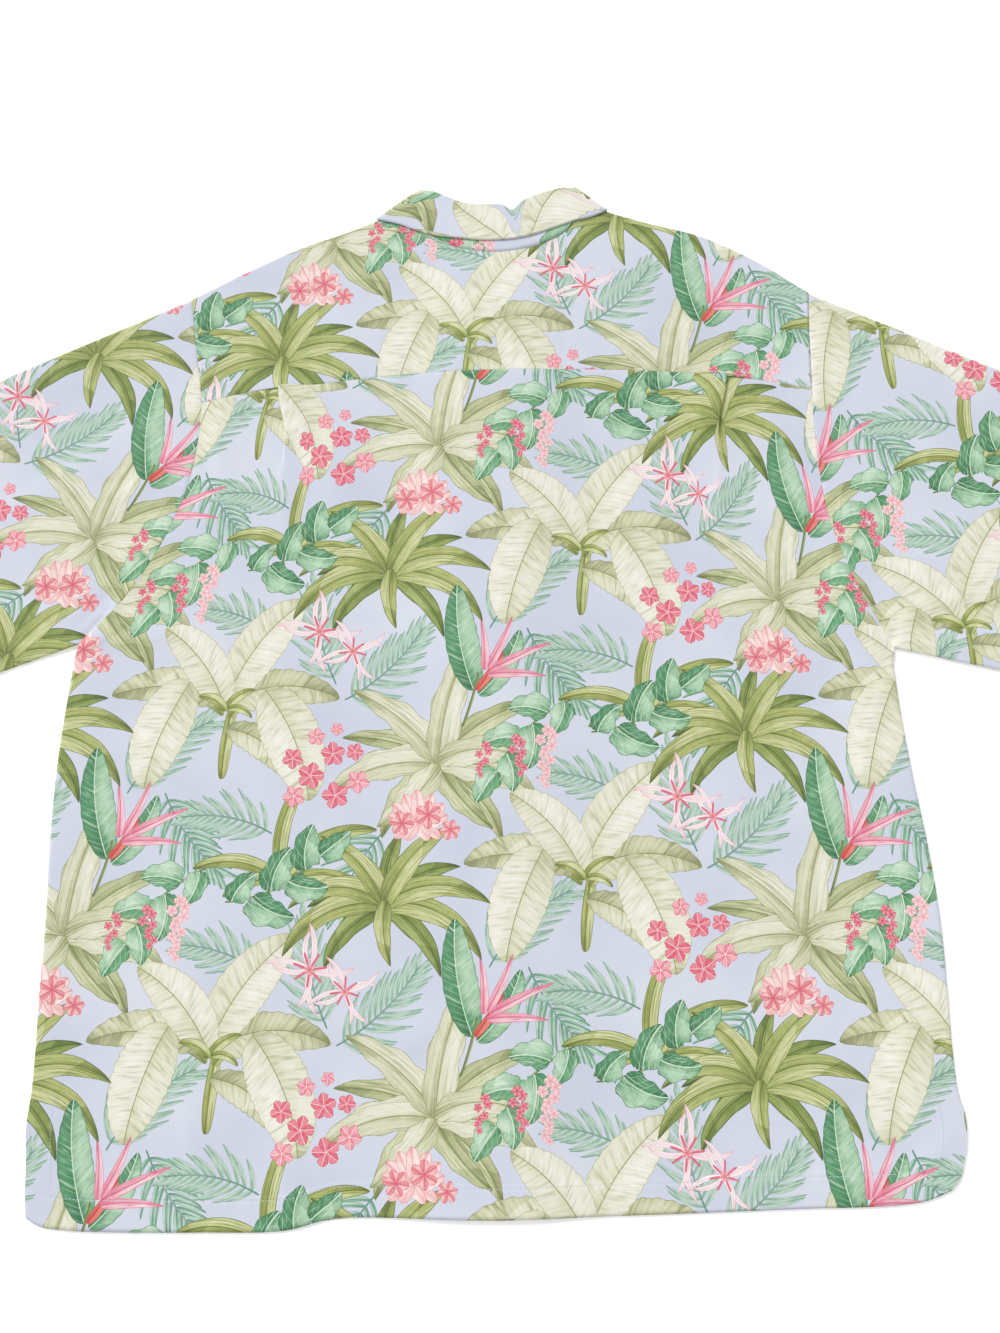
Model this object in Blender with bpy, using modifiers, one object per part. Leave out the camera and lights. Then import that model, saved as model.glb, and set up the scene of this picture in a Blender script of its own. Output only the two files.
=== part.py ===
"""Short-sleeved shirt in a printed cloth, buttoned and laid flat on its front, its back upwards.

Frame: X runs to the right as the back is seen, Y towards the collar, Z up. The front panels,
the underside of the sleeves and the front of the collar lie on z = 0; the back, the yoke, the
upper side of the sleeves and the back of the collar lie on them. The wearer's left is at -X.

Each cloth piece is an open surface through knots on its own outline, given a wall by Solidify.
Two pieces that are sewn together share the knots of their seam, so their edges stay parallel.
"""
import math

import bmesh
import bpy
import numpy as np

MM = 0.001

# ---- cloth and clearances
WALL = 1.0 * MM           # thickness of a cloth wall
SEAM = 0.3 * MM           # clear space between two pieces at a seam
LAYER = 0.4 * MM          # clear space between two layers that lie on each other
EDGE_INSET = np.array([0.6, 2, 4]) * MM         # knots inside a pressed edge, at a seam
EDGE_HEIGHT = np.array([0, 0.45, 0.85, 1])      # share of the full height at the edge and there
FOLD_INSET = np.array([0.07, 0.6, 2.4]) * MM    # the same for the fold of a sleeve
FOLD_HEIGHT = np.array([0, 0.3, 0.75, 1])
PIT_GAP = 1.6 * MM        # the sleeve's lower fold starts this far out from the underarm

# ---- front opening
CENTRE = -6 * MM          # x of the line of buttons
PLACKET = 16 * MM         # each front runs this far past the line of buttons
PLACKET_COLUMNS = np.array([0, 16, 34, 42, 49, 60]) * MM  # knots from a front's inner edge
SHOULDER_PARTS = (1, 2, 2, 2, 3)   # a front's columns in each part of the shoulder
BUTTON_R = 5.6 * MM
BUTTON_THICK = 2.0 * MM
BUTTON_TOP = 296 * MM     # y of the highest button
BUTTON_PITCH = 109 * MM
BUTTON_COUNT = 7
BUTTON_FLOOR = 0.1 * MM   # a button hangs this far clear of the surface below
HOLE_R = 0.9 * MM
HOLE_PITCH = 2.6 * MM
PLACKET_LIFT = BUTTON_THICK + BUTTON_FLOOR + SEAM
OVERLAP_LIFT = WALL + LAYER   # the right front lies over the left one
LEAF_LIFT = WALL + SEAM       # the fronts lie over the front of the collar fall

# ---- folds pressed into the back where it joins the yoke
PLEAT_REACH = 32 * MM     # the fold disturbs the cloth this far to each side
PLEAT_PITCH = 1.5 * MM    # from one layer of the fold to the next
PLEAT_KNOTS = 15          # across the disturbed cloth
BACK_PARTS = (3, 4, 2)    # rows of the back in each of the first parts of the armhole

# ---- loft of the upper layer
AIR = 0.5 * MM            # between flat layers
EDGE_SWELL = 1.6 * MM     # more air along a rolled edge
EDGE_REACH = 34 * MM


def table(columns, rows, plain=()):
    """A table as a dictionary of arrays, one for each named column: lengths in mm, and plain
    numbers in the columns that plain names."""
    found = {"name": [row[0] for row in rows]}
    for at, name in enumerate(columns.split(), 1):
        unit = 1 if name in plain else MM
        found[name] = np.array([row[at] for row in rows], float) * unit
    return found


def pair(rows, side):
    """The (x, y) points of a table's left or right columns."""
    return np.stack([rows[side + "_x"], rows[side + "_y"]], 1)


# The seam that joins a sleeve to the body, from the shoulder down to the underarm.
ARMHOLE = table("left_x left_y right_x right_y", [
    ("shoulder", -290, 352, 291, 359),
    ("cap", -286, 318, 290, 322),
    ("upper", -281, 284, 290, 291),
    ("yoke", -276, 248, 290, 263),
    ("blade", -278, 212, 290, 228),
    ("back", -283, 178, 292, 192),
    ("ease", -294, 142, 296, 155),
    ("turn", -307, 111, 303, 124),
    ("scoop", -322, 84, 313, 96),
    ("deep", -338, 60, 324, 68),
    ("near_pit", -356, 40, 337, 42),
    ("pit", -374, 21, 350, 17),
])
YOKE_KNOT = ARMHOLE["name"].index("yoke")

# The side edge below the underarm. rolled is 1 where back and front are sewn together over a
# folded edge and 0 in the open vent at the hem.
SIDE = table("left_x left_y right_x right_y rolled", [
    ("pit_turn", -375.5, 15, 349.5, 11, 0.5),
    ("under", -377, 7, 349, 3, 1),
    ("ribs", -383, -45, 353, -45, 1),
    ("waist", -387, -100, 360, -100, 1),
    ("hip", -388, -160, 369, -160, 1),
    ("seat", -387, -220, 375, -220, 1),
    ("low_seat", -388, -280, 377, -280, 1),
    ("thigh", -388, -335, 378, -332, 1),
    ("vent_top", -389, -362, 380, -358, 1),
    ("vent", -391, -384, 385, -383, 0),
    ("flap", -389, -414, 382, -412, 0),
    ("hem_line", -388, -440, 376.5, -428.5, 0),
    ("corner", -386, -458, 369, -437, 0),
], plain=["rolled"])

# The lower edge, from the left corner to the right one.
HEM = table("x y", [
    ("left_corner", -386, -458),
    ("left_turn", -376, -464),
    ("left", -355, -467.2),
    ("left_vent", -244, -468.9),
    ("left_mid", -147, -464.2),
    ("middle", 0, -459),
    ("right_mid", 122, -455.5),
    ("right_vent", 245, -451),
    ("right", 327, -448),
    ("right_turn", 350, -444.5),
    ("right_corner", 369, -437),
])

# The seam between the yoke and the back, arched upwards. It is straight between these knots,
# which both pieces have, and the two pressed folds lie between the second and third knot of
# each side.
YOKE_SEAM = table("x y", [
    ("left", -276, 248),
    ("left_pleat_out", -231, 259.5),
    ("left_pleat_in", -167, 267),
    ("left_mid", -85, 276.5),
    ("middle", 0, 280),
    ("right_mid", 90, 281),
    ("right_pleat_in", 172, 278),
    ("right_pleat_out", 236, 272),
    ("right", 290, 263),
])
PLEATS = {"left": -199 * MM, "right": 204 * MM}

# Sections of a pressed fold on its way down from the seam: half the width folded under, the
# degrees through which the cloth turns at each edge of the fold, and how far it has gone flat.
PLEAT = table("depth half turn flat", [
    ("seam", 0, 6, 180, 0),
    ("pressed", 12, 5, 180, 0),
    ("easing", 24, 3, 180, 0),
    ("edge_end", 38, 0.1, 180, 0),
    ("standing", 46, 0.1, 120, 0),
    ("leaning", 55, 0.1, 80, 0),
    ("slope", 64, 0.1, 45, 0),
    ("gone", 130, 0.1, 45, 1),
], plain=["turn", "flat"])

# The folded edge over each shoulder, from the armhole to the neck.
SHOULDER = table("left_x left_y right_x right_y", [
    ("armhole", -290, 352, 291, 359),
    ("outer", -237, 381, 238, 394),
    ("middle", -191, 404, 191, 417),
    ("inner", -143, 422, 142, 430.5),
    ("collar", -117, 433.6, 103, 442.6),
    ("neck", -96, 443.5, 83, 450.5),
])

# The collar, from its left front end round the back of the neck to its right front end. Each
# row gives where it is sewn to the neck, where it folds over, and the edge of its fall.
COLLAR = table("neck_x neck_y roll_x roll_y edge_x edge_y", [
    ("left_end", -10, 352, -10, 377, -66, 322),
    ("left_front", -45, 359, -36, 385, -83, 343),
    ("left_under", -73, 381, -56, 406, -99, 370),
    ("left_turn", -89, 412, -69, 436, -111, 401),
    ("left_flank", -96, 443.5, -76.5, 464.5, -116.5, 434),
    ("left_peak", -83, 426, -65.5, 463, -95.7, 428.6),
    ("left_slope", -63, 413, -52.5, 457.8, -71.7, 419.2),
    ("left_back", -42, 406, -36.5, 451.4, -44, 414.8),
    ("back_left", -20, 401.5, -16, 449, -19.1, 412.6),
    ("back", 0, 400.5, 2, 448.6, 4.8, 413.2),
    ("crease", 12, 402, 11.5, 443.8, 15, 414.5),
    ("back_right", 22, 404, 21.5, 453, 25, 416.5),
    ("right_back", 40, 409.5, 38.5, 460.8, 45.9, 423.4),
    ("right_slope", 60, 420, 52, 465, 69.9, 432.3),
    ("right_peak", 73, 434, 62, 467, 88.2, 437.1),
    ("right_flank", 83, 450.5, 71.5, 466.5, 101.5, 443.2),
    ("right_turn", 76, 416, 58, 438, 98, 405),
    ("right_under", 60, 383, 44, 407, 86, 372),
    ("right_front", 33, 360, 23, 385, 70, 343),
    ("right_end", -2, 352, -2, 377, 54, 322),
])
LEFT_FLANK = COLLAR["name"].index("left_flank")
RIGHT_FLANK = COLLAR["name"].index("right_flank")
FLANK_STEPS = (90, 45, 0, -45, -90)   # degrees as the collar turns from the back to the front
LEAF_LAYER = WALL + 0.45 * MM         # from the stand part of the collar to its fall

# The opening of each sleeve, from its folded upper edge to its underarm edge.
SLEEVE_END = table("left_x left_y right_x right_y", [
    ("upper", -545, 233, 545, 245),
    ("lower", -463, -13, 463, -8),
])
SLEEVE_STATIONS = (0, 0.1, 0.25, 0.42, 0.6, 0.78, 0.9, 1)

# The largest folds of the upper layer: ridges and troughs along a straight crest.
FOLDS = table("x0 y0 x1 y1 width height", [
    ("left_underarm_ridge", -362, 34, -306, 118, 13, 1.5),
    ("left_underarm_trough", -374, 34, -330, 92, 8, -1.6),
    ("left_sleeve_drape", -372, 60, -440, 116, 26, 1.2),
    ("left_blade_trough", -190, 205, -165, 110, 16, -0.6),
    ("left_chest_drape", -345, -20, -250, 60, 34, 0.9),
    ("right_underarm_ridge", 334, 26, 300, 118, 13, 1.4),
    ("right_underarm_trough", 350, 34, 330, 84, 8, -1.6),
    ("right_sleeve_drape", 352, 70, 430, 120, 26, 1.2),
    ("right_yoke_drape", 219, 262, 268, 207, 11, 1.1),
    ("right_chest_drape", 330, -30, 240, 50, 34, 0.9),
    ("left_corner_fold", -388, -408, -366, -442, 6, 0.8),
    ("middle_drape", 60, -80, 130, -330, 46, 0.8),
    ("left_hip_drape", -300, -150, -250, -360, 40, 0.8),
])

# How high the fronts and the front of the collar push the back up along the line of buttons.
CROWN = table("y height", [
    ("hem", -500, 3.8),
    ("top_button", 345, 3.8),
    ("collar_end", 360, 2.9),
    ("front_roll", 381, 2.9),
    ("neck_seam", 402, 1.3),
    ("beyond", 500, 1.3),
])


def smooth(value, start, end):
    """0 before start, 1 after end, with a soft S between."""
    t = np.clip((value - start) / (end - start), 0, 1)
    return t * t * (3 - 2 * t)


def plateau(distance, flat, end):
    """1 up to flat, falling softly to 0 at end."""
    return 1 - smooth(distance, flat, end)


def to_segment(x, y, start, end):
    """Distance to a straight segment, and the share of its length at the nearest point."""
    dx, dy = end[0] - start[0], end[1] - start[1]
    share = np.clip(((x - start[0]) * dx + (y - start[1]) * dy) / (dx * dx + dy * dy), 0, 1)
    return np.hypot(x - start[0] - share * dx, y - start[1] - share * dy), share


def to_line(x, y, points):
    """Distance to a line of straight segments."""
    return np.minimum.reduce([to_segment(x, y, a, b)[0] for a, b in zip(points, points[1:])])


def to_area(x, y, corners):
    """Distance to a closed outline, 0 inside it."""
    inside = np.zeros(np.shape(x), bool)
    for (ax, ay), (bx, by) in zip(corners, np.roll(corners, -1, 0)):
        if ay != by:
            crossing = (ay > y) != (by > y)
            inside ^= crossing & (x < ax + (y - ay) * (bx - ax) / (by - ay))
    return np.where(inside, 0, to_line(x, y, np.vstack([corners, corners[:1]])))


def leaf_outline(rows):
    """The outline of one front half of the collar, fall and stand together."""
    edge = np.stack([COLLAR["edge_x"][rows], COLLAR["edge_y"][rows]], 1)
    roll = np.stack([COLLAR["roll_x"][rows], COLLAR["roll_y"][rows]], 1)
    return np.vstack([edge, roll[::-1]])


LEAVES = [leaf_outline(slice(0, LEFT_FLANK + 1)), leaf_outline(slice(RIGHT_FLANK, None))]
FOLDED_EDGES = [
    pair(SHOULDER, "left"),
    pair(SHOULDER, "right"),
    np.vstack([pair(SHOULDER, "left")[:1], pair(SLEEVE_END, "left")[:1]]),
    np.vstack([pair(SHOULDER, "right")[:1], pair(SLEEVE_END, "right")[:1]]),
    np.vstack([pair(ARMHOLE, "left")[-1:], pair(SLEEVE_END, "left")[1:]]),
    np.vstack([pair(ARMHOLE, "right")[-1:], pair(SLEEVE_END, "right")[1:]]),
    np.vstack([pair(ARMHOLE, "left")[-1:], pair(SIDE, "left")[:8]]),
    np.vstack([pair(ARMHOLE, "right")[-1:], pair(SIDE, "right")[:8]]),
]


def to_collar(x, y):
    """Distance to the front halves of the collar, which lie under the fronts."""
    return np.minimum(to_area(x, y, LEAVES[0]), to_area(x, y, LEAVES[1]))


def front_lift(x, y):
    """How far the buttons and the front of the collar hold the fronts off the surface."""
    off = np.abs(x - CENTRE)
    placket = plateau(off, 19 * MM, 42 * MM) * plateau(y, BUTTON_TOP + 11 * MM, BUTTON_TOP + 46 * MM)
    leaves = plateau(off, 125 * MM, 190 * MM) * smooth(y, 255 * MM, 300 * MM)
    return np.maximum(PLACKET_LIFT * placket, LEAF_LIFT * leaves)


def left_front_level(x, y):
    """Mid height of the left front's wall."""
    return WALL / 2 + front_lift(x, y)


def right_front_level(x, y):
    """Mid height of the right front's wall, which lies over the left front's placket."""
    over = OVERLAP_LIFT * plateau(np.abs(x - CENTRE), 18 * MM, 36 * MM)
    return left_front_level(x, y) + over


def fold_height(x, y):
    """Sum of the ridges and troughs of FOLDS, each rounded off at its ends."""
    total = np.zeros(np.shape(x))
    for i in range(len(FOLDS["name"])):
        start = (FOLDS["x0"][i], FOLDS["y0"][i])
        end = (FOLDS["x1"][i], FOLDS["y1"][i])
        distance, share = to_segment(x, y, start, end)
        crest = 0.35 + 0.65 * np.sin(math.pi * share)
        total = total + FOLDS["height"][i] * crest * np.exp(-(distance / FOLDS["width"][i]) ** 2)
    return total


def air(x, y):
    """Clear height between the lower and the upper layer, before the placket is added."""
    edge = np.minimum.reduce([to_line(x, y, points) for points in FOLDED_EDGES])
    collar = to_collar(x, y)
    neck = 1 - np.exp(-(collar / (60 * MM)) ** 2)
    vent = smooth(y, -0.40, -0.33)
    swell = EDGE_SWELL * np.exp(-(edge / EDGE_REACH) ** 2) * vent
    drift = 0.25 * MM * (1 + np.sin(11 * x + 7 * y) * np.cos(9 * y - 5 * x))
    return AIR + np.maximum(neck * (swell + drift + fold_height(x, y)), -0.15 * MM)


def crown(x, y):
    """How far what lies under it raises the back, softly, on both sides of the buttons."""
    off = np.abs(x - CENTRE)
    middle = np.interp(y, CROWN["y"], CROWN["height"]) * plateau(off, 22 * MM, 96 * MM)
    leaves = plateau(off, 130 * MM, 215 * MM) * smooth(y, 225 * MM, 295 * MM)
    return np.maximum(middle, LEAF_LIFT * leaves)


def back_level(x, y):
    """Mid height of the upper layer's wall: back, yoke and upper side of the sleeves."""
    return 1.5 * WALL + air(x, y) + crown(x, y)


# ---- grids of knots


def shares(points):
    """Each point's share of the length along a line of points."""
    steps = np.hypot(*np.diff(points, axis=0).T)
    return np.concatenate([[0], np.cumsum(steps)]) / steps.sum()


def refined(rows, parts):
    """Rows of a grid, or numbers, with each of the first steps between them cut into parts."""
    whole = list(parts) + [1] * (len(rows) - 1 - len(parts))
    at = np.concatenate([k + np.arange(n) / n for k, n in enumerate(whole)] + [[len(rows) - 1]])
    below = np.minimum(at.astype(int), len(rows) - 2)
    share = (at - below).reshape(-1, *[1] * (np.ndim(rows) - 1))
    return rows[below] * (1 - share) + rows[below + 1] * share


def snapped(values, knots):
    """The values with the nearest one moved onto each knot."""
    values = np.array(values)
    for knot in knots:
        values[np.argmin(np.abs(values - knot))] = knot
    return values


def patch(top, bottom, left, right):
    """A grid between four edges that meet at their ends: each inner point is the blend of the
    two edges across, plus the blend of the two along, less the blend of the four corners."""
    u = ((shares(top) + shares(bottom)) / 2)[None, :, None]
    v = ((shares(left) + shares(right)) / 2)[:, None, None]
    across = (1 - v) * top[None] + v * bottom[None]
    along = (1 - u) * left[:, None] + u * right[:, None]
    first = (1 - v) * top[0] + v * bottom[0]
    last = (1 - v) * top[-1] + v * bottom[-1]
    return across + along - (1 - u) * first - u * last


def insert(grid, axis, distances, far=False):
    """The grid with extra rows (axis 0) or columns (axis 1) at these distances inside one edge."""
    grid = np.moveaxis(grid, axis, 0)
    if far:
        grid = grid[::-1]
    way = grid[1] - grid[0]
    way = way / np.linalg.norm(way, axis=-1, keepdims=True)
    extra = np.stack([grid[0] + way * d for d in distances])
    grid = np.concatenate([grid[:1], extra, grid[1:]])
    if far:
        grid = grid[::-1]
    return np.moveaxis(grid, 0, axis)


def roll_factor(count, heights, weights, far=False):
    """Share of the full height for every row, 1 but at the end that rolls, for each weight."""
    factor = np.ones((count, len(weights)))
    band = 1 - (1 - heights)[:, None] * np.asarray(weights)[None]
    if far:
        factor[-len(band):] = band[::-1]
    else:
        factor[:len(band)] = band
    return factor


def upper_wall(x, y, factor):
    """Heights of an upper piece: the full height, or down to its seam on a folded edge."""
    level = back_level(x, y)
    seam = (level + left_front_level(x, y) + WALL + SEAM) / 2
    return seam + (level - seam) * factor


def lower_wall(x, y, factor, level):
    """Heights of a lower piece, which rises to the same seam."""
    seam = (back_level(x, y) + left_front_level(x, y) - WALL - SEAM) / 2
    return seam + (level - seam) * factor


# ---- Blender objects


def material(name, colour, roughness):
    made = bpy.data.materials.new(name)
    made.use_nodes = True
    shader = made.node_tree.nodes["Principled BSDF"]
    shader.inputs["Base Color"].default_value = (*colour, 1)
    shader.inputs["Roughness"].default_value = roughness
    shader.inputs["Metallic"].default_value = 0
    return made


def cloth(name, points, colour, closed=False):
    """An open surface through a grid of points, with a wall by Solidify. A closed grid joins
    its last column to its first, as in a sleeve."""
    rows, columns = points.shape[:2]
    index = np.arange(rows * columns).reshape(rows, columns)
    if closed:
        index = np.concatenate([index, index[:, :1]], 1)
    corners = (index[1:, :-1], index[1:, 1:], index[:-1, 1:], index[:-1, :-1])
    faces = np.stack([c.ravel() for c in corners], 1)
    mesh = bpy.data.meshes.new(name)
    mesh.from_pydata(points.reshape(-1, 3).tolist(), [], faces.tolist())
    mesh.shade_smooth()
    mesh.materials.append(material(name, colour, 0.8))
    made = bpy.data.objects.new(name, mesh)
    SHIRT.objects.link(made)
    wall = made.modifiers.new("wall", "SOLIDIFY")
    wall.thickness = WALL
    wall.offset = 0
    return made


def with_height(grid, heights):
    return np.dstack([grid, heights])


GROUND = (0.67, 0.70, 0.82)      # pale lavender of the printed cloth
SHELL = (0.80, 0.78, 0.72)       # mother-of-pearl


def pleat_section(half, turn, flat):
    """Knots across one fold, (x, height) from its middle, for a row of PLEAT. The cloth comes
    in at the left, turns back over itself, turns again and goes on above, to the right."""
    bend = math.radians(turn)
    radius = PLEAT_PITCH / 2 * math.sqrt(180 / turn)
    turns = np.linspace(0, bend, 4)
    edge = radius * np.stack([np.sin(turns), 1 - np.cos(turns)], 1)
    middle = edge[-1] + half * np.array([math.cos(bend), math.sin(bend)])
    edge = edge - middle
    spine = np.vstack([edge, -edge[::-1]]) + (0, middle[1])
    top = spine[-1, 1]
    after = [(8 * MM, top), (15 * MM, 0.72 * top), (23 * MM, 0.25 * top), (PLEAT_REACH, 0)]
    path = np.vstack([[(-PLEAT_REACH, 0), (-18 * MM, 0), (-9 * MM, 0)], spine, after])
    even = np.stack([np.linspace(-PLEAT_REACH, PLEAT_REACH, PLEAT_KNOTS), np.zeros(PLEAT_KNOTS)], 1)
    return path * (1 - flat) + even * flat


def seam_height(x):
    return np.interp(x, YOKE_SEAM["x"], YOKE_SEAM["y"])


def make_back():
    """The back from the yoke seam to the hem, with its two pressed folds."""
    even = np.linspace(-PLEAT_REACH, PLEAT_REACH, PLEAT_KNOTS)
    start, end = YOKE_SEAM["x"][0], YOKE_SEAM["x"][-1]
    folds = [PLEATS["left"] + even, PLEATS["right"] + even]
    middle = snapped(np.linspace(folds[0][-1], folds[1][0], 10)[1:-1], YOKE_SEAM["x"][3:6])
    top_x = np.concatenate([np.linspace(start, folds[0][0], 5)[:-1], folds[0], middle, folds[1],
                            np.linspace(folds[1][-1], end, 5)[1:]])
    # Below the folds the cloth hangs straight, and the outer parts widen to the side edges.
    hem_x = np.interp(top_x, [start, folds[0][0], folds[1][-1], end],
                      [HEM["x"][0], folds[0][0] - 22 * MM, folds[1][-1] + 18 * MM, HEM["x"][-1]])
    top = np.stack([top_x, seam_height(top_x) - SEAM], 1)
    bottom = np.stack([hem_x, np.interp(hem_x, HEM["x"], HEM["y"])], 1)
    left = np.vstack([pair(ARMHOLE, "left")[YOKE_KNOT:], pair(SIDE, "left")])
    right = np.vstack([pair(ARMHOLE, "right")[YOKE_KNOT:], pair(SIDE, "right")])
    left[0], right[0] = top[0], top[-1]
    grid = refined(patch(top, bottom, left, right), BACK_PARTS)
    rolled = np.concatenate([np.zeros(len(left) - len(SIDE["name"])), SIDE["rolled"]])
    rolled = refined(rolled, BACK_PARTS)

    rise = np.zeros(grid.shape[:2])
    for fold, mirror in zip(folds, (1, -1)):
        first = np.searchsorted(top_x, fold[0])
        part = slice(first, first + PLEAT_KNOTS)
        for row, depth in enumerate(top[first, 1] - grid[:, first, 1]):
            values = [np.interp(depth, PLEAT["depth"], PLEAT[name]) for name in ("half", "turn", "flat")]
            section = pleat_section(*values)[::mirror]
            shift = section[:, 0] * mirror - even
            grid[row, part, 0] += shift
            grid[row, part, 1] += seam_height(fold + shift) - seam_height(fold)
            rise[row, part] = section[:, 1]
    grid = insert(insert(grid, 1, EDGE_INSET), 1, EDGE_INSET, far=True)
    none = np.zeros((len(grid), len(EDGE_INSET)))
    rise = np.hstack([rise[:, :1], none, rise[:, 1:-1], none, rise[:, -1:]])
    columns = grid.shape[1]
    factor = (roll_factor(columns, EDGE_HEIGHT, rolled)
              * roll_factor(columns, EDGE_HEIGHT, rolled, far=True)).T
    x, y = grid[..., 0], grid[..., 1]
    return cloth("back", with_height(grid, upper_wall(x, y, factor) + rise), GROUND)


def neck_knots(first, last):
    return np.stack([COLLAR["neck_x"][first:last], COLLAR["neck_y"][first:last]], 1)


def make_yoke():
    """The yoke, from its seam with the back over the shoulders, cut out for the neck."""
    neck = neck_knots(LEFT_FLANK, RIGHT_FLANK + 1)
    left_edge, right_edge = pair(SHOULDER, "left"), pair(SHOULDER, "right")
    top = np.vstack([left_edge[:-1], neck, right_edge[-2::-1]])
    reach = YOKE_SEAM["x"][0], YOKE_SEAM["x"][-1]
    neck_ends = neck[0, 0], neck[-1, 0]
    seam_x = np.interp(top[:, 0], [top[0, 0], *neck_ends, top[-1, 0]], [reach[0], *neck_ends, reach[1]])
    seam_x = snapped(seam_x, YOKE_SEAM["x"])
    bottom = np.stack([seam_x, seam_height(seam_x)], 1)
    grid = patch(top, bottom, pair(ARMHOLE, "left")[:YOKE_KNOT + 1],
                 pair(ARMHOLE, "right")[:YOKE_KNOT + 1])
    grid = insert(grid, 0, EDGE_INSET)
    grid = insert(grid, 0, [7 * MM, 20 * MM], far=True)
    on_shoulder = np.ones(len(top))
    on_shoulder[len(left_edge) - 1:len(left_edge) - 1 + len(neck)] = 0
    factor = roll_factor(len(grid), EDGE_HEIGHT, on_shoulder)
    x, y = grid[..., 0], grid[..., 1]
    # The yoke rises a little over the stacked cloth of each pressed fold.
    over = np.zeros(x.shape)
    for place in PLEATS.values():
        over += np.exp(-((x - place) / (19 * MM)) ** 2) * np.exp(-((y - seam_height(x)) / (15 * MM)) ** 2)
    heights = upper_wall(x, y, factor) + 1.2 * PLEAT_PITCH * over
    return cloth("yoke", with_height(grid, heights), GROUND)


def make_front(side):
    """One front, from the shoulder to the hem, with its placket past the line of buttons."""
    sign = -1 if side == "left" else 1
    shoulder = pair(SHOULDER, side)
    if side == "left":
        neck = neck_knots(0, LEFT_FLANK + 1)[::-1]
        level = left_front_level
    else:
        neck = neck_knots(RIGHT_FLANK, len(COLLAR["name"]))
        level = right_front_level
    edge_x = CENTRE - sign * PLACKET
    outer = np.vstack([pair(ARMHOLE, side), pair(SIDE, side)])
    top = refined(shoulder, SHOULDER_PARTS)
    # Columns stand close together where the cloth climbs over the placket.
    near, width = len(PLACKET_COLUMNS), abs(outer[-1, 0] - edge_x)
    spread = np.linspace(PLACKET_COLUMNS[-1], width, len(top) - near + 1)
    columns = edge_x + sign * np.concatenate([PLACKET_COLUMNS, spread[1:]])[::-1]
    bottom = np.stack([columns, np.interp(columns, HEM["x"], HEM["y"]) + 1.5 * MM], 1)
    bottom[0] = outer[-1]
    # The inner edge follows the neck, then turns down along the placket.
    below = outer[len(neck):, 1]
    down = np.interp(below, [below[-1], below[0]], [bottom[-1, 1], neck[-1, 1]])
    inner = np.vstack([neck, np.stack([np.full(len(below), edge_x), down], 1)])
    grid = patch(top, bottom, outer, inner)
    grid[len(neck):, -near:, 0] = columns[-near:]
    grid[len(neck) - 1, -near:-2, 0] = columns[-near:-2]
    grid[len(neck) - 1, -2, 0] = (columns[-3] + neck[-1, 0]) / 2
    grid = insert(insert(grid, 0, EDGE_INSET), 1, EDGE_INSET)
    over_shoulder = np.ones(grid.shape[1])
    over_shoulder[-SHOULDER_PARTS[-1] - 1:] = np.linspace(1, 0, SHOULDER_PARTS[-1] + 1)
    rolled = np.concatenate([np.zeros(len(ARMHOLE["name"]) + len(EDGE_INSET)), SIDE["rolled"]])
    factor = roll_factor(len(grid), EDGE_HEIGHT, over_shoulder)
    factor = factor * roll_factor(grid.shape[1], EDGE_HEIGHT, rolled).T
    x, y = grid[..., 0], grid[..., 1]
    points = with_height(grid, lower_wall(x, y, factor, level(x, y)))
    if side == "right":
        points = points[:, ::-1]
    return cloth("front_" + side, points, GROUND)


def outward(points, sign):
    """Unit normals along a line of points, to the side that sign picks."""
    way = np.gradient(points, axis=0)
    normal = np.stack([-way[:, 1], way[:, 0]], 1) * sign
    return normal / np.linalg.norm(normal, axis=1, keepdims=True)


def make_sleeve(side):
    """One sleeve: a flat tube from the armhole to its hem, open at both ends."""
    sign = -1 if side == "left" else 1
    armhole = pair(ARMHOLE, side)
    armhole = armhole + outward(armhole, sign) * SEAM
    end = pair(SLEEVE_END, side)
    fold = end[1] - armhole[-1]
    armhole[-1] += fold / np.linalg.norm(fold) * PIT_GAP
    hem = end[0] + shares(armhole)[:, None] * (end[1] - end[0])
    s = np.array(SLEEVE_STATIONS)[:, None, None]
    grid = (1 - s) * armhole[None] + s * hem[None]
    grid = insert(grid, 1, [6 * MM, 13 * MM], far=True)
    grid = insert(insert(grid, 1, FOLD_INSET), 1, FOLD_INSET, far=True)
    columns = grid.shape[1]
    whole = np.ones(len(s))
    factor = (roll_factor(columns, FOLD_HEIGHT, whole)
              * roll_factor(columns, FOLD_HEIGHT, whole, far=True)).T
    x, y = grid[..., 0], grid[..., 1]
    upper, lower = back_level(x, y), left_front_level(x, y)
    middle = (upper + lower) / 2
    above = with_height(grid, middle + (upper - middle) * factor)
    below = with_height(grid, middle + (lower - middle) * factor)
    ring = np.concatenate([above, below[:, -2:0:-1]], 1)
    if side == "right":
        ring = ring[:, ::-1]
    return cloth("sleeve_" + side, ring, GROUND, closed=True)


def collar_stations():
    """The collar's rows with each flank repeated round its turn. Each station has its three
    plan points, the direction in which it bulges, and its heights."""
    count = len(COLLAR["name"])
    stations = []
    for i in range(count):
        on_left = i < (LEFT_FLANK + RIGHT_FLANK) / 2
        if i in (LEFT_FLANK, RIGHT_FLANK):
            steps = FLANK_STEPS if i == RIGHT_FLANK else FLANK_STEPS[::-1]
        else:
            steps = (90,) if LEFT_FLANK < i < RIGHT_FLANK else (-90,)
        for angle in steps:
            stations.append((i, angle, -1 if on_left else 1))
    return stations


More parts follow.
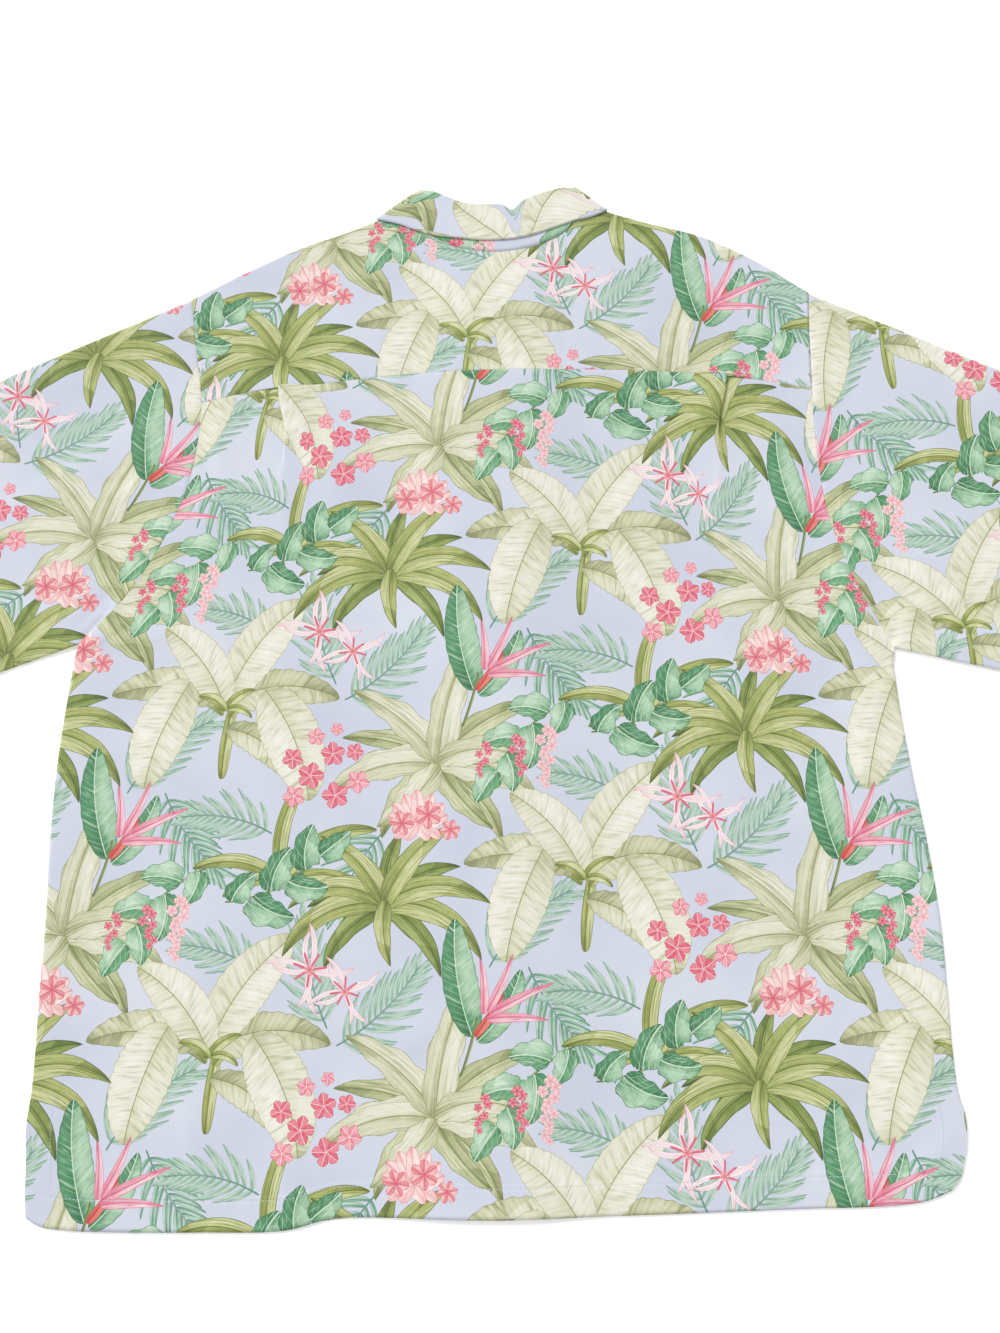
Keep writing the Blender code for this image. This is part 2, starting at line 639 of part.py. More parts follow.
def make_collar():
    """The collar, one cloth piece. From the neck seam the stand part runs up to the roll line;
    there the piece turns over and the fall comes down outside it. The whole band turns from
    the back to the front round the two flanks of the flattened neck."""
    rings = []
    for i, angle, side in collar_stations():
        neck = np.array([COLLAR["neck_x"][i], COLLAR["neck_y"][i]])
        roll = np.array([COLLAR["roll_x"][i], COLLAR["roll_y"][i]])
        edge = np.array([COLLAR["edge_x"][i], COLLAR["edge_y"][i]])
        front_level = left_front_level if side < 0 else right_front_level
        low, high = float(front_level(*neck)), float(back_level(*neck))
        cos, sin = math.cos(math.radians(angle)), math.sin(math.radians(angle))

        def turned(start, end, bottom, top):
            """Offset and height at this angle of a turn between two levels."""
            along = (end - start) / np.linalg.norm(end - start)
            normal = np.array([-along[1], along[0]])
            normal *= side * np.sign(normal[0])
            radius = (top - bottom) / 2
            return normal * radius * cos, (top + bottom) / 2 + radius * sin

        stand_shift, stand_z = turned(neck, roll, low, high)
        leaf_shift, leaf_z = turned(roll, edge, WALL / 2, high + LEAF_LAYER)
        up = (roll - neck) / np.linalg.norm(roll - neck)
        inner = np.append(roll + stand_shift, stand_z)
        outer = np.append(roll + leaf_shift, leaf_z)
        middle, half = (inner + outer) / 2, (outer - inner) / 2
        bulge = np.append(up, 0) * np.linalg.norm(half)
        start = np.append(neck + up * SEAM + stand_shift, stand_z)
        finish = np.append(edge + leaf_shift, leaf_z)
        ring = [start, start + (inner - start) * 0.5]
        for turn in (0, 45, 90, 135, 180):
            t = math.radians(turn)
            ring.append(middle - half * math.cos(t) + bulge * math.sin(t))
        ring += [outer + (finish - outer) * s for s in (0.33, 0.67, 1)]
        rings.append(ring)
    points = np.array(rings).transpose(1, 0, 2)[:, ::-1]
    return cloth("collar", points, GROUND)


def button_mesh():
    """A turned disc with a sunk middle, pierced for its thread."""
    rim, well = BUTTON_R, BUTTON_R * 0.62
    top = BUTTON_THICK
    profile = [(0, 0.65 * top), (well, 0.65 * top), (rim - 1 * MM, top), (rim, 0.65 * top),
               (rim - 0.9 * MM, 0), (0, 0)]
    disc = bmesh.new()
    steps = 16
    rings = []
    for radius, z in profile:
        if radius == 0:
            rings.append([disc.verts.new((0, 0, z))])
        else:
            turns = [2 * math.pi * k / steps for k in range(steps)]
            rings.append([disc.verts.new((radius * math.cos(a), radius * math.sin(a), z)) for a in turns])
    for upper, lower in zip(rings, rings[1:]):
        for k in range(steps):
            after = (k + 1) % steps
            if len(upper) == 1:
                disc.faces.new((upper[0], lower[k], lower[after]))
            elif len(lower) == 1:
                disc.faces.new((upper[k], lower[0], upper[after]))
            else:
                disc.faces.new((upper[k], lower[k], lower[after], upper[after]))
    mesh = bpy.data.meshes.new("button_blank")
    disc.to_mesh(mesh)
    disc.free()
    return mesh


def make_buttons():
    """Seven buttons under the placket, in one line, all from one pierced mesh."""
    blank = bpy.data.objects.new("button_blank", button_mesh())
    CUTTERS.objects.link(blank)
    drills = []
    for sx in (-1, 1):
        for sy in (-1, 1):
            bpy.ops.mesh.primitive_cylinder_add(
                vertices=8, radius=HOLE_R, depth=3 * BUTTON_THICK,
                location=(sx * HOLE_PITCH / 2, sy * HOLE_PITCH / 2, BUTTON_THICK / 2))
            drill = bpy.context.object
            drill.name = "drill"
            drills.append(drill)
    for drill in drills:
        for owner in drill.users_collection:
            owner.objects.unlink(drill)
        CUTTERS.objects.link(drill)
        drill.hide_render = True
        drill.display_type = "WIRE"
        cut = blank.modifiers.new("hole", "BOOLEAN")
        cut.operation = "DIFFERENCE"
        cut.object = drill
    evaluated = blank.evaluated_get(bpy.context.evaluated_depsgraph_get())
    mesh = bpy.data.meshes.new_from_object(evaluated)
    mesh.name = "button"
    mesh.materials.append(material("button", SHELL, 0.3))
    bpy.data.objects.remove(blank)
    for k in range(BUTTON_COUNT):
        made = bpy.data.objects.new(f"button_{k + 1}", mesh)
        made.location = (CENTRE, BUTTON_TOP - k * BUTTON_PITCH, BUTTON_FLOOR)
        SHIRT.objects.link(made)


def clear_scene():
    for old in list(bpy.data.objects):
        bpy.data.objects.remove(old)


def collection(name):
    made = bpy.data.collections.new(name)
    bpy.context.scene.collection.children.link(made)
    return made


clear_scene()
SHIRT = collection("shirt")
CUTTERS = collection("cutters")
make_back()
make_yoke()
for which in ("left", "right"):
    make_front(which)
    make_sleeve(which)
make_collar()
make_buttons()
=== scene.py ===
# %% [markdown]
# # A hawaiian shirt, laid flat on its front
#
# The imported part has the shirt's solids: stiff walls 1 mm thick. This lesson dresses them. Each
# cut piece gets a thin shell of cloth on the form of its solid, with finer creases, turned
# hems, stitches and a tropical print. The print isn't a picture: every leaf and flower is a
# formula, placed on the flat cloth before it was sewn.

# %% Load the frame
import math

import bpy
import numpy as np
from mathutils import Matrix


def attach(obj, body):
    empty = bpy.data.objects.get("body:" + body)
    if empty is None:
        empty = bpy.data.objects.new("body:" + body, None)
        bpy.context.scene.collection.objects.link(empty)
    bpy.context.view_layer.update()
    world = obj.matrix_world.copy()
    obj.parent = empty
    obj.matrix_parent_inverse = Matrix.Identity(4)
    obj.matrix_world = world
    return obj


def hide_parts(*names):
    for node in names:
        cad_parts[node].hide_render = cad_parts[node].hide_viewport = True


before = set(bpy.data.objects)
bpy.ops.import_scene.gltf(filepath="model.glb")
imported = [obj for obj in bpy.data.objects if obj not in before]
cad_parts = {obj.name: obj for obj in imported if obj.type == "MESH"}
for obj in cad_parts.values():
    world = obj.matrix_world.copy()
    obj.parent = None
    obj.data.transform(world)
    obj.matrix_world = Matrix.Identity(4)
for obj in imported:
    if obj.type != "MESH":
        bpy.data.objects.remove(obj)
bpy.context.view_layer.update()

MM = 0.001

# %% [markdown]
# ## Sizes
#
# A garment is drawn as a maker drafts a pattern: a few named lines, each a short table of
# points in millimetres. They are the same lines as those of the solids, so the cloth lies on
# them. X runs to the right as the back is seen, Y towards the collar, Z up. Left and right are
# the wearer's too, because the back is on top.

# %% Sizes of the cloth, and tables of points
WALL = 1.0 * MM           # wall of the solids underneath
CLOTH = 0.4 * MM          # the cloth shell, with its edges turned
SEAM = 0.3 * MM           # air that the solids keep at a seam
OUT = {"left": -1, "right": 1}    # the way outwards along x


def table(columns, text, plain=()):
    """A table as a dictionary of arrays, one for each column: lengths in mm, and plain numbers
    in the columns that plain names. Each line of the text starts with its row's name."""
    rows = [line.split() for line in text.strip().splitlines()]
    found = {"name": [row[0] for row in rows]}
    for at, name in enumerate(columns.split(), 1):
        found[name] = np.array([row[at] for row in rows], float) * (1 if name in plain else MM)
    return found


def knot(rows, name):
    """The number of the row with this name."""
    return rows["name"].index(name)


def line_of(rows, side=""):
    """The (x, y) points of a table, or of its columns for one side or part."""
    return np.stack([rows[side + "x"], rows[side + "y"]], 1)


def pair(rows, side):
    """The (x, y) points of a table's left or right columns."""
    return line_of(rows, side + "_")


print("cloth shell:", CLOTH / MM, "mm, on walls of", WALL / MM, "mm")

# %% Outline of the body
ARMHOLE = table("left_x left_y right_x right_y", """
    shoulder -290 352 291 359
    cap -286 318 290 322
    upper -281 284 290 291
    yoke -276 248 290 263
    blade -278 212 290 228
    back -283 178 292 192
    ease -294 142 296 155
    turn -307 111 303 124
    scoop -322 84 313 96
    deep -338 60 324 68
    near_pit -356 40 337 42
    pit -374 21 350 17
""")
YOKE_KNOT = knot(ARMHOLE, "yoke")
SIDE = table("left_x left_y right_x right_y rolled", """
    pit_turn -375.5 15 349.5 11 0.5
    under -377 7 349 3 1
    ribs -383 -45 353 -45 1
    waist -387 -100 360 -100 1
    hip -388 -160 369 -160 1
    seat -387 -220 375 -220 1
    low_seat -388 -280 377 -280 1
    thigh -388 -335 378 -332 1
    vent_top -389 -362 380 -358 1
    vent -391 -384 385 -383 0
    flap -389 -414 382 -412 0
    hem_line -388 -440 376.5 -428.5 0
    corner -386 -458 369 -437 0
""", plain=["rolled"])
VENT_TOP = knot(SIDE, "vent_top")
print("width under the arms:", round((SIDE["right_x"][0] - SIDE["left_x"][0]) / MM), "mm")

# %% Hem, yoke seam and pleats
HEM = table("x y", """
    left_corner -386 -458
    left_turn -376 -464
    left -355 -467.2
    left_vent -244 -468.9
    left_fold -169 -466.6
    left_mid -142 -459.2
    middle 0 -459
    right_mid 122 -455.5
    right_vent 245 -451
    right 327 -448
    right_turn 350 -444.5
    right_corner 369 -437
""")
YOKE_SEAM = table("x y", """
    left -276 248
    left_pleat_out -231 259.5
    left_pleat_in -167 267
    left_mid -85 276.5
    middle 0 280
    right_mid 90 281
    right_pleat_in 172 278
    right_pleat_out 236 272
    right 290 263
""")
PLEATS = {"left": -199 * MM, "right": 204 * MM}      # x of each pleat on the yoke seam
# How a pleat opens on the way down: half the width of its folded part, the turn of each of its
# two bends in degrees, and how flat it is.
PLEAT = table("depth half turn flat", """
    seam 0 6 180 0
    pressed 12 5 180 0
    easing 24 3 180 0
    edge_end 38 0.1 180 0
    standing 46 0.1 120 0
    leaning 55 0.1 80 0
    slope 64 0.1 45 0
    gone 130 0.1 45 1
""", plain=["turn", "flat"])
print("width of the hem:", round((HEM["x"][-1] - HEM["x"][0]) / MM), "mm")

# %% Shoulders, collar and ends of the sleeves
SHOULDER = table("left_x left_y right_x right_y", """
    armhole -290 352 291 359
    outer -237 381 238 394
    middle -191 404 191 417
    inner -143 422 142 430.5
    collar -117 433.6 103 442.6
    neck -96 443.5 83 450.5
""")
COLLAR = table("neck_x neck_y roll_x roll_y edge_x edge_y", """
    left_end -10 352 -10 377 -66 322
    left_front -45 359 -36 385 -83 343
    left_under -73 381 -56 406 -99 370
    left_turn -89 412 -69 436 -111 401
    left_flank -96 443.5 -76.5 464.5 -116.5 434
    left_peak -83 426 -65.5 463 -95.7 428.6
    left_slope -63 413 -52.5 457.8 -71.7 419.2
    left_back -42 406 -36.5 451.4 -44 414.8
    back_left -20 401.5 -16 449 -19.1 412.6
    back 0 400.5 2 448.6 4.8 413.2
    crease 12 402 11.5 443.8 15 414.5
    back_right 22 404 21.5 453 25 416.5
    right_back 40 409.5 38.5 460.8 45.9 423.4
    right_slope 60 420 52 465 69.9 432.3
    right_peak 73 434 62 467 88.2 437.1
    right_flank 83 450.5 71.5 466.5 101.5 443.2
    right_turn 76 416 58 438 98 405
    right_under 60 383 44 407 86 372
    right_front 33 360 23 385 70 343
    right_end -2 352 -2 377 54 322
""")
LEFT_FLANK, RIGHT_FLANK = knot(COLLAR, "left_flank"), knot(COLLAR, "right_flank")
SLEEVE_END = table("left_x left_y right_x right_y", """
    upper -545 233 545 245
    lower -463 -13 463 -8
""")
back_length = COLLAR["neck_y"][knot(COLLAR, "back")] - HEM["y"][knot(HEM, "middle")]
print("length of the back:", round(back_length / MM), "mm")

# %% [markdown]
# ## The height of the cloth
#
# The upper layer lies on the fronts with a little air between. It swells beside its folded
# edges, is pushed up by the placket and by the front of the collar, and carries the folds that
# the first table lists. All this is one height above the plan, so any piece can ask for it. The
# second table adds creases too fine for the solids. A crease is a soft bell across a straight
# crest, steeper on one side than on the other, which is what makes it look like cloth. A cloth
# simulation could drape such folds too, but not these ones in these places.

# %% Large folds, which the solids have too
FOLDS = table("x0 y0 x1 y1 width height", """
    left_underarm_ridge -362 34 -306 118 13 1.5
    left_underarm_trough -374 34 -330 92 8 -1.6
    left_sleeve_drape -372 60 -440 116 26 1.2
    left_blade_trough -190 205 -165 110 16 -0.6
    left_chest_drape -345 -20 -250 60 34 0.9
    right_underarm_ridge 334 26 300 118 13 1.4
    right_underarm_trough 350 34 330 84 8 -1.6
    right_sleeve_drape 352 70 430 120 26 1.2
    right_yoke_drape 219 262 268 207 11 1.1
    right_chest_drape 330 -30 240 50 34 0.9
    left_corner_fold -388 -408 -366 -442 6 0.8
    middle_drape 60 -80 130 -330 46 0.8
    left_hip_drape -300 -150 -250 -360 40 0.8
""")
print("folds:", len(FOLDS["name"]))

# %% Creases that only the cloth shell has
CREASES = table("x0 y0 x1 y1 width height", """
    left_pit_gash -375 19 -350 50 3 -1.5
    left_pit_upper -352 50 -318 100 4 -0.9
    left_pit_lower -370 14 -318 52 6 1.1
    left_pit_fan -372 20 -288 26 9 1.1
    left_side_pull -374 -6 -322 -34 9 0.8
    left_sleeve_pull -378 44 -452 58 7 1.0
    left_sleeve_under -384 22 -462 12 4 0.8
    left_sleeve_fall -392 12 -462 -14 10 -1.1
    left_sleeve_long -300 250 -470 120 18 1.3
    left_cap_soft -296 205 -352 150 9 0.9
    left_cap_hollow -300 170 -380 110 14 -0.7
    right_pit_hole 346 16 353 32 3 -1.5
    right_pit_upper 340 40 318 96 4 -0.9
    right_pit_band 290 98 342 36 9 1.2
    right_pit_lower 346 6 296 44 6 0.9
    right_side_pull 346 -14 300 -40 9 0.7
    right_side_ridge 312 -5 320 -95 13 1.2
    right_sleeve_pull 356 40 430 66 7 1.0
    right_sleeve_under 362 22 440 12 5 0.8
    right_sleeve_long 300 262 470 140 18 1.3
    right_cap_soft 296 214 350 160 9 0.8
    left_pleat_crest -188 238 -142 150 17 1.8
    left_pleat_outer -268 232 -252 172 11 1.3
    left_pleat_fall -203 200 -196 120 7 0.6
    right_pleat_crest 190 268 238 212 11 1.7
    right_pleat_fall 205 210 196 130 7 0.6
    right_pleat_outer 244 250 262 190 9 0.8
    right_yoke_line 226 268 262 218 6 -1.2
    left_back_soft -150 180 -60 90 18 0.7
    right_back_soft 160 190 90 60 20 0.7
    middle_back_soft -60 60 30 -60 24 0.7
    placket_ridge -4 200 2 -440 19 0.8
    left_waist_soft -330 -60 -230 -130 15 1.1
    left_rib_soft -300 -40 -272 -100 18 0.9
    right_waist_soft 330 -80 230 -150 16 1.1
    left_belly_drape -210 -60 -150 -260 30 0.9
    right_belly_drape 190 -120 130 -290 28 0.8
    left_hem_ridge -186 -392 -166 -456 14 1.6
    left_hem_soft -270 -300 -250 -440 12 0.8
    left_middle_hem -112 -350 -50 -304 13 1.0
    mid_hem_soft 40 -330 20 -446 14 0.6
    right_hem_soft 250 -290 280 -436 13 0.8
    right_side_fall 330 -285 346 -385 15 1.3
    left_corner_line -386 -412 -362 -448 4 -0.7
    right_corner_soft 372 -392 330 -432 9 0.8
    yoke_left_soft -230 330 -130 300 15 0.7
    yoke_right_soft 230 340 120 310 16 0.7
    nape_soft -60 392 70 398 7 0.5
""")
print("creases:", len(CREASES["name"]))


# %% Bells, steps and distances
def bell(distance, width):
    """exp(-(distance / width)^2): 1 in the middle, a third at the width."""
    return np.exp(-(distance / width) ** 2)


def smooth(value, start, end):
    """0 before start, 1 after end, with a soft S between: 3t^2 - 2t^3."""
    t = np.clip((value - start) / (end - start), 0, 1)
    return t * t * (3 - 2 * t)


def plateau(distance, flat, end):
    """1 up to flat, falling softly to 0 at end."""
    return 1 - smooth(distance, flat, end)


def to_segment(x, y, start, end):
    """Distance to a straight segment, the share of its length at the nearest point, and the
    side: above 0 on the left of its way."""
    dx, dy = end[0] - start[0], end[1] - start[1]
    share = np.clip(((x - start[0]) * dx + (y - start[1]) * dy) / (dx * dx + dy * dy), 0, 1)
    side = dx * (y - start[1]) - dy * (x - start[0])
    return np.hypot(x - start[0] - share * dx, y - start[1] - share * dy), share, side


def to_line(x, y, points):
    """Distance to a line of straight segments."""
    return np.minimum.reduce([to_segment(x, y, a, b)[0] for a, b in zip(points, points[1:])])


def to_area(x, y, corners):
    """Distance to a closed outline, 0 inside it: a point is inside when a ray to its right
    crosses the outline an odd number of times."""
    inside = np.zeros(np.shape(x), bool)
    for (ax, ay), (bx, by) in zip(corners, np.roll(corners, -1, 0)):
        if ay != by:
            crossing = (ay > y) != (by > y)
            inside ^= crossing & (x < ax + (y - ay) * (bx - ax) / (by - ay))
    return np.where(inside, 0, to_line(x, y, np.vstack([corners, corners[:1]])))


def creases(x, y, rows, lean=0.0):
    """Sum of bells across each crest, rounded off at its ends. lean makes a bell narrower on one
    side and wider on the other."""
    total = np.zeros(np.shape(x))
    for x0, y0, x1, y1, width, height in zip(*list(rows.values())[1:]):
        distance, share, side = to_segment(x, y, (x0, y0), (x1, y1))
        crest = 0.35 + 0.65 * np.sin(math.pi * share)
        total = total + height * crest * bell(distance, width * (1 + lean * np.sign(side)))
    return total


highest = max(range(len(CREASES["name"])), key=lambda k: CREASES["height"][k])
print("highest crease:", CREASES["name"][highest])

# %% How high the two fronts lie
CENTRE = -6 * MM          # x of the line of buttons
BUTTON_TOP = 296 * MM     # y of the highest button
PLACKET_LIFT = 2.4 * MM   # a button and a little air
OVERLAP_LIFT = WALL + 0.4 * MM    # the right front on the left one, with air between
LEAF_LIFT = WALL + SEAM   # the front of the collar under a front
# Each bump is flat up to the first distance from the line of buttons and gone at the second.
PLACKET_WIDTH, OVERLAP_WIDTH = (19 * MM, 42 * MM), (18 * MM, 36 * MM)
PLACKET_END = (BUTTON_TOP + 11 * MM, BUTTON_TOP + 46 * MM)     # the same for y
LEAVES_WIDTH, LEAVES_START = (125 * MM, 190 * MM), (255 * MM, 300 * MM)


def front_lift(x, y):
    """How far the buttons and the front of the collar hold the fronts off the surface."""
    off = np.abs(x - CENTRE)
    placket = plateau(off, *PLACKET_WIDTH) * plateau(y, *PLACKET_END)
    leaves = plateau(off, *LEAVES_WIDTH) * smooth(y, *LEAVES_START)
    return np.maximum(PLACKET_LIFT * placket, LEAF_LIFT * leaves)


def left_level(x, y):
    """Middle of the left front's wall."""
    return WALL / 2 + front_lift(x, y)


def right_level(x, y):
    """Middle of the right front's wall, which lies over the left front's placket."""
    return left_level(x, y) + OVERLAP_LIFT * plateau(np.abs(x - CENTRE), *OVERLAP_WIDTH)


print("right front at the buttons:", round(float(right_level(CENTRE, 0.0)) / MM, 2), "mm")

# %% How high the upper layer lies
AIR = 0.5 * MM            # between the fronts and the back
EDGE_SWELL, EDGE_REACH = 1.6 * MM, 34 * MM      # the swell beside a folded edge, and its width
SWELL_START = (-0.40, -0.33)      # y in metres between which it grows, up from the hem
DEEPEST = -0.15 * MM      # how far a trough may press out the air
NECK_REACH = 60 * MM      # how far from the collar's front the cloth lies close
DRIFT = 0.25 * MM         # slow waves of the whole back
MIDDLE_WIDTH = (22 * MM, 96 * MM)
OVER_LEAVES_WIDTH, OVER_LEAVES_START = (130 * MM, 215 * MM), (225 * MM, 295 * MM)
CROWN = table("y height", """
    hem -500 3.8
    top_button 345 3.8
    collar_end 360 2.9
    front_roll 381 2.9
    neck_seam 402 1.3
    beyond 500 1.3
""")
FOLDED_EDGES = [line for side in OUT for line in (
    pair(SHOULDER, side),
    np.vstack([pair(SHOULDER, side)[:1], pair(SLEEVE_END, side)[:1]]),
    np.vstack([pair(ARMHOLE, side)[-1:], pair(SLEEVE_END, side)[1:]]),
    np.vstack([pair(ARMHOLE, side)[-1:], pair(SIDE, side)[:VENT_TOP]]))]
# The two leaves of the collar's front, from the edge of the fall back along the roll line.
LEAVES = [np.vstack([line_of(COLLAR, "edge_")[rows], line_of(COLLAR, "roll_")[rows][::-1]])
          for rows in (slice(0, LEFT_FLANK + 1), slice(RIGHT_FLANK, None))]


def to_leaves(x, y):
    """Distance to the front of the collar, 0 over it."""
    return np.minimum(to_area(x, y, LEAVES[0]), to_area(x, y, LEAVES[1]))


def back_level(x, y):
    """Middle of the upper layer's wall: two walls, the air between them, and what pushes the
    upper one up, which is the larger of the placket and the collar's front."""
    edge = np.minimum.reduce([to_line(x, y, points) for points in FOLDED_EDGES])
    swell = EDGE_SWELL * bell(edge, EDGE_REACH) * smooth(y, *SWELL_START)
    drift = DRIFT * (1 + np.sin(11 * x + 7 * y) * np.cos(9 * y - 5 * x))
    free = 1 - bell(to_leaves(x, y), NECK_REACH)
    air = AIR + np.maximum(free * (swell + drift + creases(x, y, FOLDS)), DEEPEST)
    off = np.abs(x - CENTRE)
    middle = np.interp(y, CROWN["y"], CROWN["height"]) * plateau(off, *MIDDLE_WIDTH)
    leaves = plateau(off, *OVER_LEAVES_WIDTH) * smooth(y, *OVER_LEAVES_START)
    return 1.5 * WALL + air + np.maximum(middle, LEAF_LIFT * leaves)


print("upper layer in the middle:", round(float(back_level(0.0, 0.0)) / MM, 2), "mm")

# %% [markdown]
# ## From a few knots to fine cloth
#
# A pattern piece has four edges. A smooth line goes through each edge's knots, and a Coons
# patch fills the area between them: it adds the blend of two opposite edges to the blend of
# the other two. The result is a grid of cloth squares about 4 mm wide, fine enough for small
# creases, and no Python loop runs over its points.


# %% Smooth lines and patches
def dense(points, steps):
    """A smooth line, or grid, through the knots along axis 0: between two knots it is the cubic
    that leaves and meets them along the mean of the ways beside each, weighted by distance. It
    is slow at a knot with a short step on its other side, so that it doesn't swing out."""
    span = np.linalg.norm(np.diff(points, axis=0), axis=-1, keepdims=True) + 1e-9
    slope = np.diff(points, axis=0) / span
    inner = (slope[:-1] * span[1:] + slope[1:] * span[:-1]) / (span[:-1] + span[1:])
    way = np.concatenate([slope[:1], inner, slope[-1:]])
    leave = np.minimum(span, 2 * np.concatenate([span[:1], span[:-1]])) * way[:-1]
    meet = np.minimum(span, 2 * np.concatenate([span[1:], span[-1:]])) * way[1:]
    t = np.linspace(0, 1, steps, endpoint=False).reshape(-1, *[1] * points.ndim)
    found = ((2 * t**3 - 3 * t**2 + 1) * points[:-1] + (t**3 - 2 * t**2 + t) * leave
             + (3 * t**2 - 2 * t**3) * points[1:] + (t**3 - t**2) * meet)
    found = np.swapaxes(found, 0, 1).reshape(-1, *points.shape[1:])
    return np.concatenate([found, points[-1:]])


def shares(points):
    """Each point's share of the length along a line of points."""
    steps = np.linalg.norm(np.diff(points, axis=0), axis=-1)
    return np.concatenate([[0], np.cumsum(steps)]) / steps.sum()


def curve(points, count):
    """A smooth line through the points, cut into equal lengths."""
    fine = dense(np.asarray(points, float), 24)
    at = shares(fine)
    even = np.linspace(0, 1, count)
    return np.stack([np.interp(even, at, fine[:, k]) for k in range(fine.shape[1])], 1)


def patch(top, bottom, left, right):
    """A grid between four edges that meet at their ends: the blend of the two edges across, plus
    the blend of the two along, less the blend of the four corners."""
    u = ((shares(top) + shares(bottom)) / 2)[None, :, None]
    v = ((shares(left) + shares(right)) / 2)[:, None, None]
    across = (1 - v) * top[None] + v * bottom[None]
    along = (1 - u) * left[:, None] + u * right[:, None]
    first = (1 - v) * top[0] + v * bottom[0]
    last = (1 - v) * top[-1] + v * bottom[-1]
    return across + along - (1 - u) * first - u * last


def refined(rows, parts):
    """Rows with each of the first steps between them cut into parts."""
    whole = list(parts) + [1] * (len(rows) - 1 - len(parts))
    at = np.concatenate([k + np.arange(n) / n for k, n in enumerate(whole)] + [[len(rows) - 1]])
    below = np.minimum(at.astype(int), len(rows) - 2)
    share = (at - below).reshape(-1, *[1] * (rows.ndim - 1))
    return rows[below] * (1 - share) + rows[below + 1] * share


HEM_LINE, YOKE_LINE = curve(line_of(HEM), 120), curve(line_of(YOKE_SEAM), 90)
ARMHOLES = [curve(pair(ARMHOLE, side), 60) for side in OUT]
VENTS = [curve(pair(SIDE, side)[VENT_TOP:], 30) for side in OUT]


def seam_y(x):
    """Where the yoke seam runs at this x."""
    return np.interp(x, *YOKE_LINE.T)


def hem_y(x):
    """Where the hem runs at this x."""
    return np.interp(x, *HEM_LINE.T)


print("yoke seam in the middle: y =", round(float(seam_y(0.0)) / MM, 1), "mm")

# %% [markdown]
# ## Folded edges
#
# Where a shirt lies folded, at its shoulders, sides and sleeves, the cloth rolls over on a
# soft radius and meets the layer below half way down. A Bevel would round the edge of one
# wall only, so extra rows are put close to the edge, and their height follows a quarter of a
# circle.


# %% Rows close to a folded edge
def insert(grid, axis, distances, far=False):
    """The grid with extra rows (axis 0) or columns (axis 1) at these distances inside one edge,
    measured on the plan, which is the first two numbers of each point. Where the next row is
    nearer than the last of them, they all move closer, so that no row crosses another."""
    grid = np.moveaxis(grid, axis, 0)
    if far:
        grid = grid[::-1]
    way = grid[1] - grid[0]
    gap = np.linalg.norm(way[..., :2], axis=-1, keepdims=True)
    way = way * np.minimum(1 / gap, 0.8 / distances[-1])
    extra = np.stack([grid[0] + way * d for d in distances])
    grid = np.concatenate([grid[:1], extra, grid[1:]])
    if far:
        grid = grid[::-1]
    return np.moveaxis(grid, 0, axis)


ROLL = 2.6 * MM                                   # radius of a soft folded edge
ROLL_INSET = np.array([0.1, 0.4, 0.9, 1.6, 2.4]) * MM
ROLL_SHARE = np.append(np.sqrt(1 - (1 - np.append(0, ROLL_INSET) / ROLL) ** 2), 1)
# y in metres between which the side's fold begins under the arm, and ends at the open vent.
FOLD_START, FOLD_END = (0.012, 0.0), (-0.385, -0.365)


def rolled(count, weights, far=False):
    """Share of the full height along an edge that rolls over: a quarter of a circle, as much of
    it as each weight says, and 1 everywhere else."""
    factor = np.ones((count, len(weights)))
    band = 1 - (1 - ROLL_SHARE)[:, None] * np.asarray(weights)[None]
    if far:
        factor[-len(band):] = band[::-1]
    else:
        factor[:len(band)] = band
    return factor


def both_rolled(count, weights):
    """The same for both sides of a piece, with one row for each weight."""
    return (rolled(count, weights) * rolled(count, weights, far=True)).T


def meeting(level, other, factor):
    """The height of a layer that rolls over to meet the other one: half way where factor is 0,
    its own level where it is 1."""
    middle = (level + other) / 2
    return middle + (level - middle) * factor


def side_fold(y):
    """1 where the side is folded, which is from the underarm to the open vent, and 0 elsewhere."""
    return smooth(y, *FOLD_START) * smooth(y, *FOLD_END)


print("rows beside a fold, in mm:", (ROLL_INSET / MM).tolist())

# %% [markdown]
# ## Seams and hems
#
# A shirt's yoke is lapped over the back, and the body over the sleeve, so a seam is a small
# step with a dark line under its edge. The machine gathers the cloth a little there, which
# shows as faint ripples that die out within a centimetre. A hem is turned twice and stitched,
# so it is thicker, and there is a shallow groove along the stitches. A bump map would show no
# step at the edge, so all of this is in the height.

# %% Relief of the upper layer
LAP = 2.2 * MM            # how far one piece goes under its neighbour
STEP = 0.75 * MM          # how far it lies below it
HEM_DEPTH = 26 * MM       # turned edge at the bottom
VENT_DEPTH = 22 * MM      # turned edge beside each open vent
TURN_RISE, TURN_SOFT = 0.4 * MM, 1.2 * MM       # a turned edge's rise, and its slope's width
STITCH_INSET = 2 * MM     # from the edge of the turn to its stitches
GROOVE_DEPTH, GROOVE_WIDTH = 0.3 * MM, 1.1 * MM
VENT_OPEN = (-0.372, -0.352)      # y in metres between which a vent's turned edge fades out
SEAM_END = 285 * MM       # how far the yoke seam goes to each side
# Gathers beside a seam: their height, their reach, and their wave.
ARMHOLE_GATHERS = 0.22 * MM, 9 * MM, (610, 90, 2)
YOKE_GATHERS = 0.14 * MM, 7 * MM, (560, 70, 2)
HEM_GATHERS = 0.16 * MM, 9 * MM, (470, 40, 3)


def wander(place, per_metre, slow, sway):
    """A wave whose length wanders: sin(a p + sway sin(b p))."""
    return np.sin(place * per_metre + sway * np.sin(place * slow))


